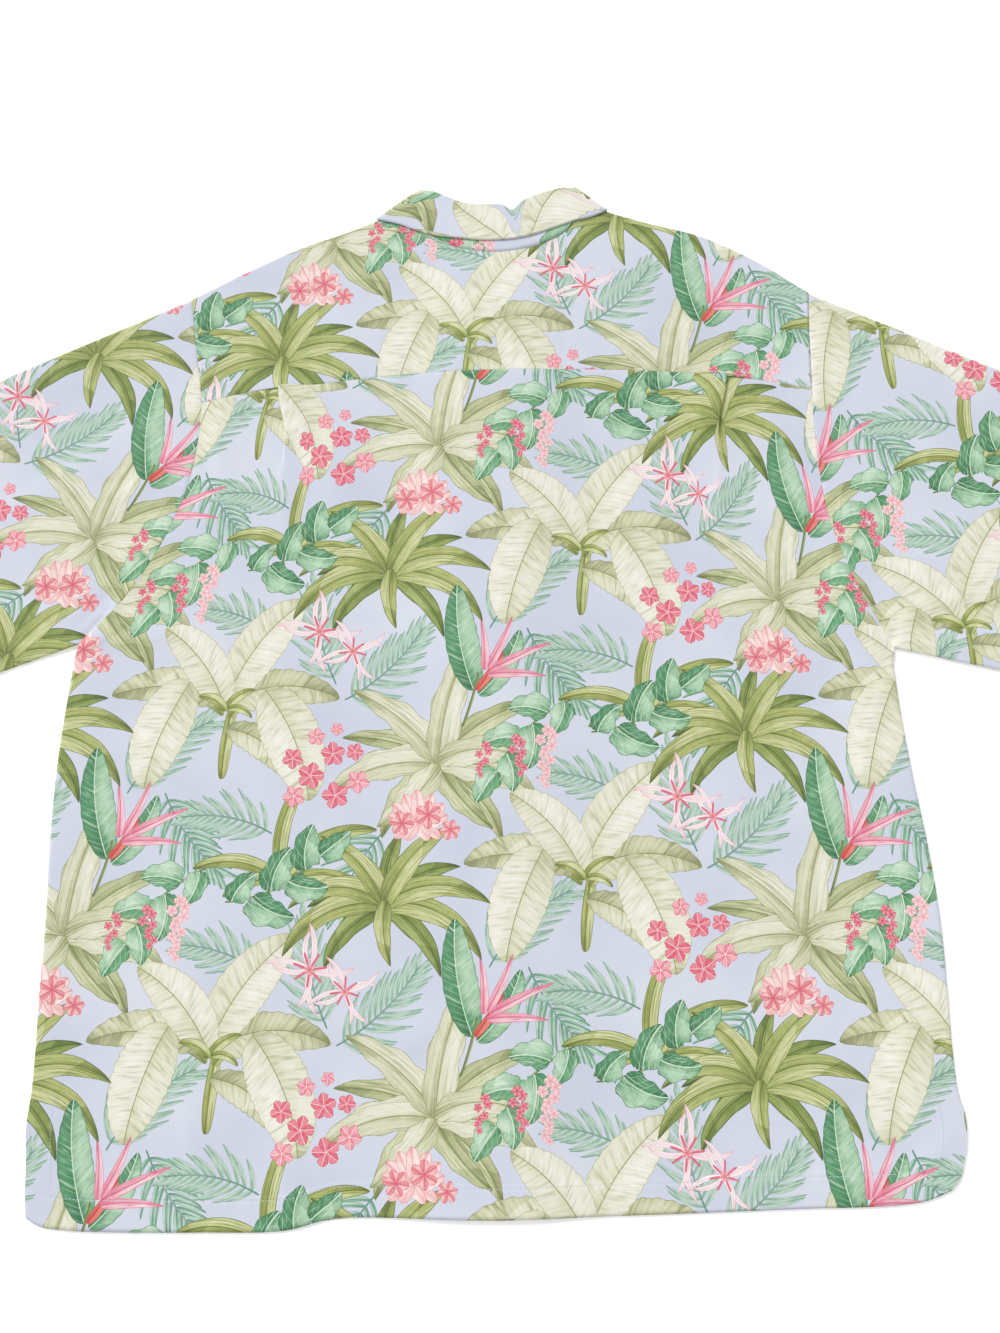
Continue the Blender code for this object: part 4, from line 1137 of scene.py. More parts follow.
print("rows for shade and paint:", len(SHADE))


# %% Build the program
def print_group():
    """The node group that paints one slot of the print over the colour below: one node for each
    row, whose inputs are earlier results by name, or numbers."""
    tree = bpy.data.node_groups.new("print of one motif", "ShaderNodeTree")
    for name, way, form in (("Below", "INPUT", "Color"), ("Chart", "INPUT", "Vector"),
                            ("Wash", "INPUT", "Float"), ("Colour", "OUTPUT", "Color")):
        tree.interface.new_socket(name, in_out=way, socket_type="NodeSocket" + form)
    entry = tree.nodes.new("NodeGroupInput").outputs
    known = {name.lower(): entry[name] for name in ("Below", "Chart", "Wash")}
    for names, does, *inputs in READ + FOLD + STROKES + OUTLINE + SHADE:
        kind, places, output, settings = NODES.get(does, (MATH, range(3), 0, {"operation": does}))
        filled = {place: known.get(value, value) for place, value in zip(places, inputs)}
        node = add(tree, kind, filled, **settings).node
        names = names.split()
        known.update(zip(names, node.outputs[output:]))
        if does == "LOOK_UP":
            steps = RAMPS[names[0]]
            node.color_ramp.interpolation = "CONSTANT"
            for k, colour in enumerate(steps):
                step = (node.color_ramp.elements.new(k / len(steps)) if k > 1
                        else node.color_ramp.elements[k])
                step.position, step.color = k / len(steps), colour
    tree.links.new(known["painted"], tree.nodes.new("NodeGroupOutput").inputs["Colour"])
    return tree


PRINT = print_group()
print("print program:", len(PRINT.nodes), "nodes a slot")

# %% [markdown]
# ## Printed rayon
#
# Rayon is woven from smooth spun thread and then screen printed, so the ink dyes the face and
# shows weakly on the reverse. The eye sees a soft matte cloth: roughness 0.72, the IOR of
# cellulose, a weak sheen from its fine nap. The ground is washed unevenly by the printing
# paste, which two slow noises give. The weave is bump, because its threads are far below the
# size of the cloth squares.


# %% Printed rayon
def coated(name, values):
    """A material with these values on its shader's own sockets, and its node tree and shader."""
    made = bpy.data.materials.new(name)
    made.use_nodes = True
    shader = made.node_tree.nodes["Principled BSDF"]
    for socket, value in values.items():
        shader.inputs[socket].default_value = value
    return made, made.node_tree, shader


def printed_rayon(name, fade):
    """The cloth's material. fade says how far the print has gone back to the ground colour, as
    on the reverse side."""
    made, tree, shader = coated(name, {"Roughness": 0.72, "IOR": 1.46, "Sheen Weight": 0.18,
                                       "Sheen Roughness": 0.45})
    place = add(tree, "ShaderNodeUVMap", uv_map="flat cloth")
    wash = add(tree, "ShaderNodeTexNoise",
               {"Vector": place, "Scale": 95.0, "Detail": 3.0, "Roughness": 0.6})
    wash = add(tree, MATH, [wash, 0.9, -0.1], operation="MULTIPLY_ADD")
    patches = add(tree, "ShaderNodeTexNoise", {"Vector": place, "Scale": 9.0, "Detail": 2.0})
    patches = add(tree, MATH, [patches, 3.0, -1.0], operation="MULTIPLY_ADD", use_clamp=True)
    colour = add(tree, "ShaderNodeMix", {0: patches, 6: linear("CDD2E3"), 7: linear("D9DDE9")},
                 output=2, data_type="RGBA")
    for k in reversed(range(SLOTS)):
        layer = add(tree, "ShaderNodeAttribute", output=1, attribute_name=f"print_{k}")
        colour = add(tree, "ShaderNodeGroup", {"Below": colour, "Chart": layer, "Wash": wash},
                     node_tree=PRINT)
    if fade:
        colour = add(tree, "ShaderNodeMix", {0: fade, 6: colour, 7: linear("DADEEA")}, output=2,
                     data_type="RGBA")
    tree.links.new(colour, shader.inputs["Base Color"])
    # Threads 0.3 mm apart, drawn at 1.2 mm so that they show, with thick and thin places.
    threads = []
    for scale in ((160.0, 830.0, 1.0), (830.0, 160.0, 1.0)):
        way = add(tree, "ShaderNodeMapping", {"Vector": place, "Scale": scale})
        threads.append(add(tree, "ShaderNodeTexNoise",
                           {"Vector": way, "Scale": 1.0, "Detail": 1.0}))
    weave = add(tree, MATH, threads, operation="ADD")
    bump = add(tree, "ShaderNodeBump", {"Strength": 0.35, "Distance": 0.0002, "Height": weave})
    tree.links.new(bump, shader.inputs["Normal"])
    return made


FACE = printed_rayon("printed rayon", 0)
REVERSE = printed_rayon("printed rayon, reverse side", 0.4)
print("materials:", FACE.name, "/", REVERSE.name)

# %% [markdown]
# ## Sewing a piece
#
# Real panels are cut from flat cloth, so every square of a piece knows two places: where it
# lies on the shirt, and where it was on the flat cloth, which carries the print. Solidify
# gives the grid its thickness and puts the reverse of the print on the inside.


def hang(name, data):
    """An object for this mesh, lamp or camera, in the scene."""
    made = bpy.data.objects.new(name, data)
    bpy.context.scene.collection.objects.link(made)
    return made


def quads(index):
    """Faces between the rows and columns of a grid, with their corners in turn."""
    corners = index[1:, :-1], index[1:, 1:], index[:-1, 1:], index[:-1, :-1]
    return np.stack([corner.ravel() for corner in corners], 1)


def grid_of(rows, columns):
    """Numbers of the points of a grid."""
    return np.arange(rows * columns).reshape(rows, columns)


def lengths(points, axis):
    """Lengths of the lines of a grid that run along this axis."""
    return np.linalg.norm(np.diff(points, axis=axis), axis=-1).sum(axis)


def sew(name, points, flat, thickness=CLOTH, closed=False, double=False):
    """A cloth piece through a grid of points in metres. flat is each point's place on the uncut
    cloth in mm; a closed piece joins its last column to its first, and its flat grid has one
    column more. A double piece has the face of the cloth on both sides."""
    index = grid_of(*points.shape[:2])
    if closed:
        index = np.concatenate([index, index[:, :1]], 1)
    faces = quads(index)
    places = flat.reshape(-1, 2)[quads(grid_of(*flat.shape[:2]))]
    mesh = bpy.data.meshes.new(name)
    mesh.from_pydata(points.reshape(-1, 3).tolist(), [], faces.tolist())
    mesh.shade_smooth()
    mesh.materials.append(FACE)
    mesh.materials.append(FACE if double else REVERSE)
    uv = mesh.uv_layers.new(name="flat cloth")
    uv.data.foreach_set("uv", (places * MM).astype(np.float32).ravel())
    lost = print_on(mesh, places)
    piece = hang(name, mesh)
    wall = piece.modifiers.new("wall", "SOLIDIFY")
    wall.thickness, wall.offset, wall.material_offset = thickness, 0, 1
    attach(piece, "root")


print("corners of one square in a grid of 2 x 2 points:", quads(grid_of(2, 2))[0].tolist())

# %% [markdown]
# ## The back, and its pleats
#
# The back hangs from the yoke seam with two knife pleats pressed into it, which give the
# shoulders room. A pleat is a section: the cloth comes in, turns back over itself, turns again
# and goes on above. An array of copies or a simulation would lose the pressed edge, so the
# section is worked out for every row, and it softens from a flat fold to nothing on the way
# down. The print is measured along the cloth, so part of each motif hides inside the pleat, as
# it does on a sewn shirt.

# %% A pleat in section
PLEAT_REACH = 32 * MM     # from a pleat's middle to where the cloth is plain again
PLEAT_PITCH = 1.5 * MM    # height of one turn
PLEAT_EVEN = np.linspace(-PLEAT_REACH, PLEAT_REACH, 36)
BEND_POINTS, BEFORE_POINTS, AFTER_POINTS = 8, 8, 12      # 36 in all, with two bends


def pleat_section(half, turn, flat):
    """Points across one pleat, (x, height) from its middle: flat cloth, half a turn, the part
    folded under, the other half turn, and a slope down to the flat cloth again."""
    bend = math.radians(turn)
    radius = PLEAT_PITCH / 2 * math.sqrt(180 / turn)
    turns = np.linspace(0, bend, BEND_POINTS)
    edge = radius * np.stack([np.sin(turns), 1 - np.cos(turns)], 1)
    middle = edge[-1] + half * np.array([math.cos(bend), math.sin(bend)])
    edge = edge - middle
    spine = np.vstack([edge, -edge[::-1]]) + (0, middle[1])
    before = np.linspace(-PLEAT_REACH, spine[0, 0] - 1.5 * MM, BEFORE_POINTS)
    after = np.linspace(0, 1, AFTER_POINTS + 1)[1:]
    slope = (spine[-1, 0] + (PLEAT_REACH - spine[-1, 0]) * after,
             spine[-1, 1] * (1 - smooth(after, 0, 1)))
    path = np.vstack([np.stack([before, 0 * before], 1), spine, np.stack(slope, 1)])
    even = np.stack([PLEAT_EVEN, 0 * PLEAT_EVEN], 1)
    return path * (1 - flat) + even * flat


print("pressed pleat:", round(float(pleat_section(6 * MM, 180, 0)[:, 1].max()) / MM, 2), "mm high")

# %% Plan of the back
SIDE_COLUMNS, MIDDLE_COLUMNS = 25, 86     # knots from a side to a pleat, and between the pleats
ROW_PITCH = 3.7 * MM
HEM_SPREAD = 22 * MM, 18 * MM     # how much further out the pleats' columns are at the hem
FOLD_PLACES = [PLEATS[side] + PLEAT_EVEN for side in OUT]


def back_plan():
    """The back as if it had no pleats, with columns that crowd together where these will be,
    and the x of each column on the yoke seam."""
    start, end = YOKE_LINE[0, 0], YOKE_LINE[-1, 0]
    left_fold, right_fold = FOLD_PLACES
    top_x = np.concatenate([
        np.linspace(start, left_fold[0], SIDE_COLUMNS)[:-1], left_fold,
        np.linspace(left_fold[-1], right_fold[0], MIDDLE_COLUMNS)[1:-1], right_fold,
        np.linspace(right_fold[-1], end, SIDE_COLUMNS)[1:]])
    hem_x = np.interp(top_x, [start, left_fold[0], right_fold[-1], end],
                      [HEM["x"][0], left_fold[0] - HEM_SPREAD[0],
                       right_fold[-1] + HEM_SPREAD[1], HEM["x"][-1]])
    top, bottom = np.stack([top_x, seam_y(top_x)], 1), np.stack([hem_x, hem_y(hem_x)], 1)
    left, right = [np.vstack([pair(ARMHOLE, side)[YOKE_KNOT:], pair(SIDE, side)]) for side in OUT]
    count = int(round(lengths(left, 0) / ROW_PITCH))
    left, right = curve(left, count), curve(right, count)
    left[0], right[0], left[-1], right[-1] = top[0], top[-1], bottom[0], bottom[-1]
    return patch(top, bottom, left, right), top_x


print("grid of the back:", back_plan()[0].shape[:2])

# %% Pressing the pleats
HIDDEN = 24 * MM          # cloth folded away in each pleat
PLEAT_FADE = 380 * MM     # how far down the back it is let out again


def press_pleats(grid, top_x):
    """The plan with its knots moved into the pleats, then two numbers for the flat cloth, and
    the rise. On the flat cloth the sides stand further out by what the pleats hide."""
    grid, flat_x, rise = grid.copy(), grid[..., 0].copy(), np.zeros(grid.shape[:2])
    depth = grid[:1, :, 1] - grid[..., 1]
    for fold, mirror in zip(FOLD_PLACES, (1, -1)):
        first = int(np.searchsorted(top_x, fold[0]))
        folded = slice(first, first + len(fold))
        hidden = HIDDEN * (1 - smooth(depth[:, first], 0, PLEAT_FADE))
        outside = slice(0, first) if mirror == 1 else slice(folded.stop, None)
        flat_x[:, outside] -= mirror * hidden[:, None]
        for row, down in enumerate(depth[:, first]):
            section = pleat_section(*[np.interp(down, PLEAT["depth"], PLEAT[part])
                                      for part in ("half", "turn", "flat")])[::mirror]
            shift = section[:, 0] * mirror - PLEAT_EVEN
            near, far = flat_x[row, first], flat_x[row, folded.stop - 1]
            near, far = (near - hidden[row], far) if mirror == 1 else (near, far + hidden[row])
            flat_x[row, folded] = near + (far - near) * shares(section)
            grid[row, folded, 0] += shift
            grid[row, folded, 1] += seam_y(fold + shift) - seam_y(fold)
            rise[row, folded] = section[:, 1]
    return np.dstack([grid, flat_x, grid[..., 1], rise])


pressed = press_pleats(*back_plan())
print("highest rise of the pleats:", round(float(pressed[..., 4].max()) / MM, 2), "mm")

# %% The back
HEM_ROWS = (1, 1, 1, 1, 1, 3, 4, 3)   # parts of each step between rows, from the hem up


def make_back():
    """(x, y) from the pressed plan, and z = the upper surface, rolled down at the folded sides,
    plus the rise of the pleats, less a step where it lies under the yoke."""
    grid = np.concatenate([pressed[:1] + (0, LAP, 0, LAP, 0), pressed])
    grid = insert(insert(grid, 1, ROLL_INSET), 1, ROLL_INSET, far=True)
    grid = refined(grid[::-1], HEM_ROWS)[::-1]
    x, y, rise = grid[..., 0], grid[..., 1], grid[..., 4]
    factor = both_rolled(x.shape[1], side_fold((y[:, 0] + y[:, -1]) / 2))
    under = 1 - smooth(seam_y(x) - y, -LAP, 1.2 * MM)
    z = meeting(upper_surface(x, y), right_level(x, y), factor) + rise - STEP * under
    sew("back_cloth", np.dstack([x, y, z]), grid[..., 2:4] / MM)


make_back()

# %% [markdown]
# ## The yoke
#
# The yoke carries the back over the shoulders. Its upper edge rolls over to meet the fronts,
# but at the neck it is sewn to the collar and stays up. Its lower edge is lapped over the
# back, and the pleats below lift it a little. It is one patch between the neck, the
# armholes and the yoke seam.

# %% Yoke
SHOULDER_COUNT, NECK_COUNT, YOKE_ROWS = 66, 84, 42
YOKE_FLAT = (104, 87)     # where the yoke was cut from the print, in mm
LAP_INSET = np.array([0.5, 1.5]) * MM     # extra rows beside the stitched lower edge
EDGE_SINK, SINK_REACH = 0.3 * MM, 0.9 * MM      # how far the stitches press that edge down
BUMP_RISE = 1.2 * PLEAT_PITCH     # how far a pleat lifts the yoke
BUMP_X, BUMP_Y = 19 * MM, 15 * MM     # how far that reaches


def make_yoke():
    """z = the upper surface, rolled down along the shoulders, plus a bell over each pleat, less
    a little at the stitched lower edge."""
    neck = line_of(COLLAR, "neck_")[LEFT_FLANK:RIGHT_FLANK + 1]
    left, right = [curve(pair(SHOULDER, side), SHOULDER_COUNT) for side in OUT]
    top = np.vstack([left[:-1], curve(neck, NECK_COUNT), right[-2::-1]])
    sides = [curve(pair(ARMHOLE, side)[:YOKE_KNOT + 1], YOKE_ROWS) for side in OUT]
    grid = patch(top, curve(YOKE_LINE, len(top)), *sides)
    grid = insert(insert(grid, 0, ROLL_INSET), 0, LAP_INSET, far=True)
    on_shoulder = np.ones(len(top))
    on_shoulder[SHOULDER_COUNT - 1:SHOULDER_COUNT - 1 + NECK_COUNT] = 0
    x, y = grid[..., 0], grid[..., 1]
    above = y - seam_y(x)
    over = sum(bell(x - place, BUMP_X) * bell(above, BUMP_Y) for place in PLEATS.values())
    z = meeting(upper_surface(x, y), right_level(x, y), rolled(len(grid), on_shoulder))
    z = z + BUMP_RISE * over - EDGE_SINK * plateau(above, 0, SINK_REACH)
    sew("yoke_cloth", np.dstack([grid, z]), grid / MM + YOKE_FLAT)


make_yoke()

# %% [markdown]
# ## The fronts
#
# Both fronts lie flat under the back, buttoned, with the right one over the left. Only their
# folded edges can be seen, so they need few squares, but the columns beside the placket follow
# it closely. Their plan is a patch from the shoulder down to the hem, whose inner edge runs
# down the neck and then straight along the placket.

# %% Fronts
PLACKET = 16 * MM         # from the line of buttons to the edge of a front
PLACKET_COLUMNS = np.array([0, 16, 34, 42, 49, 60]) * MM     # from that edge inwards
SHOULDER_PARTS = (1, 2, 2, 2, 3)      # parts of each step along a shoulder
FRONT_STEPS = 5           # squares between two knots
FRONT_FLAT = (40 * MM, 90 * MM)       # where the fronts were cut from the print
UNDER_HEM = 1.5 * MM      # a front ends this much above the back's hem
NECK_END = (92 * MM, 112 * MM)    # way from the middle between which the shoulder's roll begins


def front_plan(side):
    """The knots of a front: shoulder and hem, armhole with side, and neck with placket."""
    sign = OUT[side]
    neck = line_of(COLLAR, "neck_")
    neck = neck[LEFT_FLANK::-1] if side == "left" else neck[RIGHT_FLANK:]
    edge_x = CENTRE - sign * PLACKET
    outer = np.vstack([pair(ARMHOLE, side), pair(SIDE, side)])
    top = refined(pair(SHOULDER, side), SHOULDER_PARTS)
    near, width = len(PLACKET_COLUMNS), abs(outer[-1, 0] - edge_x)
    spread = np.linspace(PLACKET_COLUMNS[-1], width, len(top) - near + 1)
    columns = edge_x + sign * np.concatenate([PLACKET_COLUMNS, spread[1:]])[::-1]
    bottom = np.stack([columns, np.interp(columns, HEM["x"], HEM["y"]) + UNDER_HEM], 1)
    bottom[0] = outer[-1]
    below = outer[len(neck):, 1]
    down = np.interp(below, [below[-1], below[0]], [bottom[-1, 1], neck[-1, 1]])
    inner = np.vstack([neck, np.stack([np.full(len(below), edge_x), down], 1)])
    grid = patch(top, bottom, outer, inner)
    # Below the neck the columns beside the placket run straight, down to their own places.
    grid[len(neck):, -near:, 0] = columns[-near:]
    grid[len(neck) - 1, -near:-2, 0] = columns[-near:-2]
    grid[len(neck) - 1, -2, 0] = (columns[-3] + neck[-1, 0]) / 2
    return grid


def dense_grid(grid, along, across):
    """A grid made finer both ways."""
    return np.moveaxis(dense(np.moveaxis(dense(grid, along), 1, 0), across), 0, 1)


def make_front(side):
    """z = this front's own level, rolled up to meet the back at the shoulder and the side."""
    grid = dense_grid(front_plan(side), FRONT_STEPS, FRONT_STEPS)
    grid = insert(insert(grid, 0, ROLL_INSET), 1, ROLL_INSET)
    x, y = grid[..., 0], grid[..., 1]
    on_shoulder = smooth(np.abs(x[0]), *NECK_END)
    factor = rolled(len(grid), on_shoulder) * rolled(grid.shape[1], side_fold(y[:, 0])).T
    level = left_level if side == "left" else right_level
    z = meeting(level(x, y), upper_surface(x, y), factor)
    points, flat = np.dstack([grid, z]), np.dstack([-x + FRONT_FLAT[0], y + FRONT_FLAT[1]]) / MM
    if side == "right":
        points, flat = points[:, ::-1], flat[:, ::-1]
    sew("front_" + side + "_cloth", points, flat)


for side in OUT:
    make_front(side)

# %% [markdown]
# ## The sleeves
#
# A sleeve is one piece of cloth sewn into a tube and pressed flat: one fold along its top and
# one along the underarm. A cylinder would have to be crushed, so the tube is drawn as it lies,
# an upper and a lower layer that meet at the folds. Its first row is tucked under the body.
# Both sleeves are cut askew to the body's print, as on a real shirt.

# %% Sleeves
CUFF_DEPTH = 27 * MM      # turned edge of a sleeve
SLEEVE_COLUMNS, SLEEVE_ROWS = 96, 66
SLEEVE_LENGTH = 250 * MM  # about, to measure the step along it
TUCK_SOFT = 1.6 * MM      # width of the step where the body lies over the sleeve
TUCK_SHARES = 1, 0.3      # the tuck, as shares of a lap, at the shoulder and at the underarm
SLEEVE_TURN = 12          # degrees between the print on a sleeve and on the body
SLEEVE_FLAT = (300, 131)  # place of the armhole's middle on the print, in mm


def outward(points, side):
    """Unit normals along a line of points, away from the middle of the shirt."""
    way = np.gradient(points, axis=0)
    normal = np.stack([-way[:, 1], way[:, 0]], 1) * OUT[side]
    return normal / np.linalg.norm(normal, axis=1, keepdims=True)


def inside_end(x, y, side):
    """How far a place is inside the end of the sleeve, along x."""
    (x0, y0), (x1, y1) = pair(SLEEVE_END, side)
    return OUT[side] * (x0 + (y - y0) * (x1 - x0) / (y1 - y0) - x)


def sleeve_print(x, y, armhole, side):
    """The flat place of each point: turned about the middle of the armhole, and mirrored at
    the fold for the lower layer."""
    turn = np.exp(1j * math.radians(-OUT[side] * SLEEVE_TURN))
    place = (x + 1j * y - complex(*armhole[SLEEVE_COLUMNS // 2])) * turn / MM
    place = place + complex(OUT[side] * SLEEVE_FLAT[0], SLEEVE_FLAT[1])
    mirrored = 2 * place[:, :1].real - place.real + 1j * place.imag
    flat = np.concatenate([place, mirrored[:, -2:0:-1], mirrored[:, :1]], 1)
    return np.dstack([flat.real, flat.imag])


def make_sleeve(side):
    """Rows s from the armhole to the end: (1 - s) seam + s end. The upper layer is the upper
    surface with the cuff's turned edge, less a step where it is tucked in."""
    armhole = curve(pair(ARMHOLE, side), SLEEVE_COLUMNS)
    tuck = LAP * np.linspace(*TUCK_SHARES, SLEEVE_COLUMNS)[:, None]
    start, end = armhole - outward(armhole, side) * tuck, pair(SLEEVE_END, side)
    end = end[0] + shares(armhole)[:, None] * (end[1] - end[0])
    s = np.linspace(0, 1, SLEEVE_ROWS)[:, None, None]
    grid = insert((1 - s) * start[None] + s * end[None], 1, ROLL_INSET)
    grid = insert(grid, 1, ROLL_INSET, far=True)
    x, y = grid[..., 0], grid[..., 1]
    band, groove = turned(inside_end(x, y, side), CUFF_DEPTH)
    tucked = STEP * plateau(s[..., 0] * SLEEVE_LENGTH, LAP, LAP + TUCK_SOFT)
    upper = upper_surface(x, y) + TURN_RISE * band - GROOVE_DEPTH * groove - tucked
    lower, factor = left_level(x, y), both_rolled(grid.shape[1], np.ones(SLEEVE_ROWS))
    above = np.dstack([grid, meeting(upper, lower, factor)])
    below = np.dstack([grid, meeting(lower, upper, factor)])
    ring, flat = np.concatenate([above, below[:, -2:0:-1]], 1), sleeve_print(x, y, armhole, side)
    if side == "right":
        ring, flat = ring[:, ::-1], flat[:, ::-1]
    sew("sleeve_" + side + "_cloth", ring, flat, closed=True)


for side in OUT:
    make_sleeve(side)

# %% [markdown]
# ## Collar
#
# A camp collar is one band: a stand that climbs from the neck seam and a fall that turns over
# it and lies outside. The laid-out shirt shows its back, where the fall doesn't quite reach
# down to the seam. It holds an interlining, so it is twice as thick as the body and its edge
# is round. A swept profile would kink at its two sharp flanks, so stations go round the
# flattened neck, and each is a turn between two levels.

# %% A station of the collar
COLLAR_WALL = 0.8 * MM
LEAF_LAYER = WALL + 0.45 * MM     # the fall lies this much above the yoke
FLANK_TURNS = (90, 45, 0, -45, -90)
ROLL_TURNS, FALL_SHARES = np.radians((0, 45, 90, 135, 180)), (0.33, 0.67, 1)


def collar_ring(i, angle):
    """Ten points of station i, from the neck seam over the roll line to the edge of the fall.
    Stand and fall each turn between two levels: out by r cos(angle) from their line, and at the
    levels' middle + r sin(angle). Half a circle joins them at the roll line."""
    side = -1 if i < (LEFT_FLANK + RIGHT_FLANK) / 2 else 1
    neck, roll, edge = [line_of(COLLAR, part)[i] for part in ("neck_", "roll_", "edge_")]
    low = float((left_level if side < 0 else right_level)(*neck))
    high = float(back_level(*neck))
    ends = []
    for start, end, bottom, top in ((neck, roll, low, high),
                                    (roll, edge, WALL / 2, high + LEAF_LAYER)):
        along = (end - start) / np.linalg.norm(end - start)
        normal = np.array([-along[1], along[0]])
        radius = (top - bottom) / 2 * side * np.sign(normal[0])
        height = (top + bottom) / 2 + (top - bottom) / 2 * math.sin(angle)
        ends.append([np.append(place + normal * radius * math.cos(angle), height)
                     for place in (start, end)])
    (start, inner), (outer, finish) = ends
    middle, half = (inner + outer) / 2, (outer - inner) / 2
    up = (roll - neck) / np.linalg.norm(roll - neck)
    bulge = np.append(up, 0) * np.linalg.norm(half)
    return ([start, start + (inner - start) * 0.5]
            + [middle - half * math.cos(t) + bulge * math.sin(t) for t in ROLL_TURNS]
            + [outer + (finish - outer) * share for share in FALL_SHARES])


def turns_at(i):
    """The angles at station i: one on a side, and a whole turn at each flank."""
    if i in (LEFT_FLANK, RIGHT_FLANK):
        return FLANK_TURNS[::1 if i == RIGHT_FLANK else -1]
    return FLANK_TURNS[:1] if LEFT_FLANK < i < RIGHT_FLANK else FLANK_TURNS[-1:]


rings = np.array([collar_ring(i, math.radians(angle))
                  for i in range(len(COLLAR["name"])) for angle in turns_at(i)])
print("stations and points of the collar:", rings.shape[:2])

# %% Collar
COLLAR_STEPS = 7, 5       # squares between two stations, and between two points
ROLL_COLUMN = 23          # the column whose length the print follows
COLLAR_FLAT = (-150 * MM, 230 * MM)   # where the collar was cut from the print
EDGE_STITCHES = 6 * MM    # from the edge of the fall to its groove
EDGE_GROOVE, EDGE_WIDTH = 0.12 * MM, 0.9 * MM   # depth and width of that groove
SHOWN_ABOVE = 3.5 * MM    # only the part of the fall that lies on the back is grooved


def make_collar():
    """The band made fine, never under the table, with a groove inside the edge of the fall
    where it can be seen."""
    band = dense_grid(rings, *COLLAR_STEPS)
    band[..., 2] = np.maximum(band[..., 2], WALL / 2)
    across = np.linalg.norm(np.diff(band, axis=1), axis=-1)
    down = np.concatenate([np.zeros((len(band), 1)), across.cumsum(1)], 1)
    along = np.linalg.norm(np.diff(band[:, ROLL_COLUMN], axis=0), axis=-1)
    along = np.concatenate([[0], along.cumsum()])[:, None] + 0 * down
    flat = np.dstack([along + COLLAR_FLAT[0], COLLAR_FLAT[1] - down]) / MM
    groove = EDGE_GROOVE * bell(down[:, -1:] - down - EDGE_STITCHES, EDGE_WIDTH)
    band[..., 2] -= np.where(band[..., 2] > SHOWN_ABOVE, groove, 0)
    points, flat = [v.transpose(1, 0, 2)[:, ::-1] for v in (band, flat)]
    sew("collar_cloth", points, flat, thickness=COLLAR_WALL, double=True)


make_collar()

# %% [markdown]
# ## Buttons
#
# The buttons are mother-of-pearl, cut from shell and polished: a smooth gloss over slow grey
# clouds. They are hidden under the shirt, so they keep their solids and get their material.


# %% Buttons
def clouded(name, scale, detail, codes, values):
    """A material whose colour drifts between two hex colours on a noise of this scale."""
    made, tree, shader = coated(name, values)
    place = add(tree, "ShaderNodeTexCoord", output=3)
    cloud = add(tree, "ShaderNodeTexNoise", {"Vector": place, "Scale": scale, "Detail": detail})
    low, high = [linear(code) for code in codes]
    colour = add(tree, "ShaderNodeMix", {0: cloud, 6: low, 7: high}, output=2, data_type="RGBA")
    tree.links.new(colour, shader.inputs["Base Color"])
    return made


PEARL = clouded("mother-of-pearl", 260.0, 3.0, ("E9E4DA", "CFCBC6"),
                {"Roughness": 0.25, "Coat Weight": 0.4})
buttons = [node for name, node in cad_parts.items() if name.startswith("button")]
for node in buttons:
    node.data.materials.clear()
    node.data.materials.append(PEARL)
print("buttons:", len(buttons))

# %% [markdown]
# ## Stitches
#
# The hems are sewn with cotton thread, whose two plies catch a little light: pale, with a
# faint twist. Each stitch is its own small capsule, 2.4 mm long, on the groove of its hem. A
# curve with a bevel would be one long cord, and stitches dip into the cloth between.

# %% Stitches
THREAD = clouded("cotton thread", 900.0, 2.0, ("C6CBDD", "E3E5EE"), {"Roughness": 0.6})
STITCH, STITCH_GAP, THREAD_R = 2.4 * MM, 0.7 * MM, 0.24 * MM
TUBE_SIDES = 6
STATIONS = np.array([-0.5, -0.36, 0.36, 0.5]) * STITCH   # places of the rings of a stitch
RADII = np.array([0.3, 1, 1, 0.3]) * THREAD_R            # their radii
END_DIP = np.array([-0.12, 0, 0, -0.12]) * MM            # its ends dip into the cloth


def along_line(line, at):
    """Places at shares of a line's length."""
    return np.stack([np.interp(at, shares(line), line[:, k]) for k in (0, 1)], 1)


def stitches(name, line, lift=0.0):
    """Capsules along a line on the upper surface: tubes of six sides, closed at both ends. A
    point is centre + way * station + side * radius * cos, at height + radius * sin."""
    total = lengths(line, 0)
    at = np.arange(STITCH, total - STITCH, STITCH + STITCH_GAP) / total
    centre = along_line(line, at)
    way = along_line(line, at + STITCH / 2 / total) - centre
    way = way / np.linalg.norm(way, axis=1, keepdims=True)
    side = np.stack([-way[:, 1], way[:, 0]], 1)
    z = upper_surface(centre[:, 0], centre[:, 1]) + CLOTH / 2 + lift
    angles = np.linspace(0, 2 * math.pi, TUBE_SIDES, endpoint=False)
    plan = (centre[:, None, None] + way[:, None, None] * STATIONS[:, None, None]
            + side[:, None, None] * (RADII[:, None] * np.cos(angles))[..., None])
    height = z[:, None, None] + RADII[:, None] * np.sin(angles) + END_DIP[:, None]
    vertices = np.concatenate([plan, height[..., None]], -1).reshape(-1, 3)
    ring = grid_of(len(STATIONS), TUBE_SIDES)
    first = ring.size * np.arange(len(centre))[:, None, None]
    sides = (quads(np.concatenate([ring, ring[:, :1]], 1))[:, ::-1] + first).reshape(-1, 4)
    ends = (np.stack([ring[0, ::-1], ring[-1]]) + first).reshape(-1, TUBE_SIDES)
    mesh = bpy.data.meshes.new(name)
    mesh.from_pydata(vertices.tolist(), [], sides.tolist() + ends.tolist())
    mesh.shade_smooth()
    mesh.materials.append(THREAD)
    piece = hang(name, mesh)
    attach(piece, "root")
    print(f"{name}: {len(centre)} stitches")
    return piece


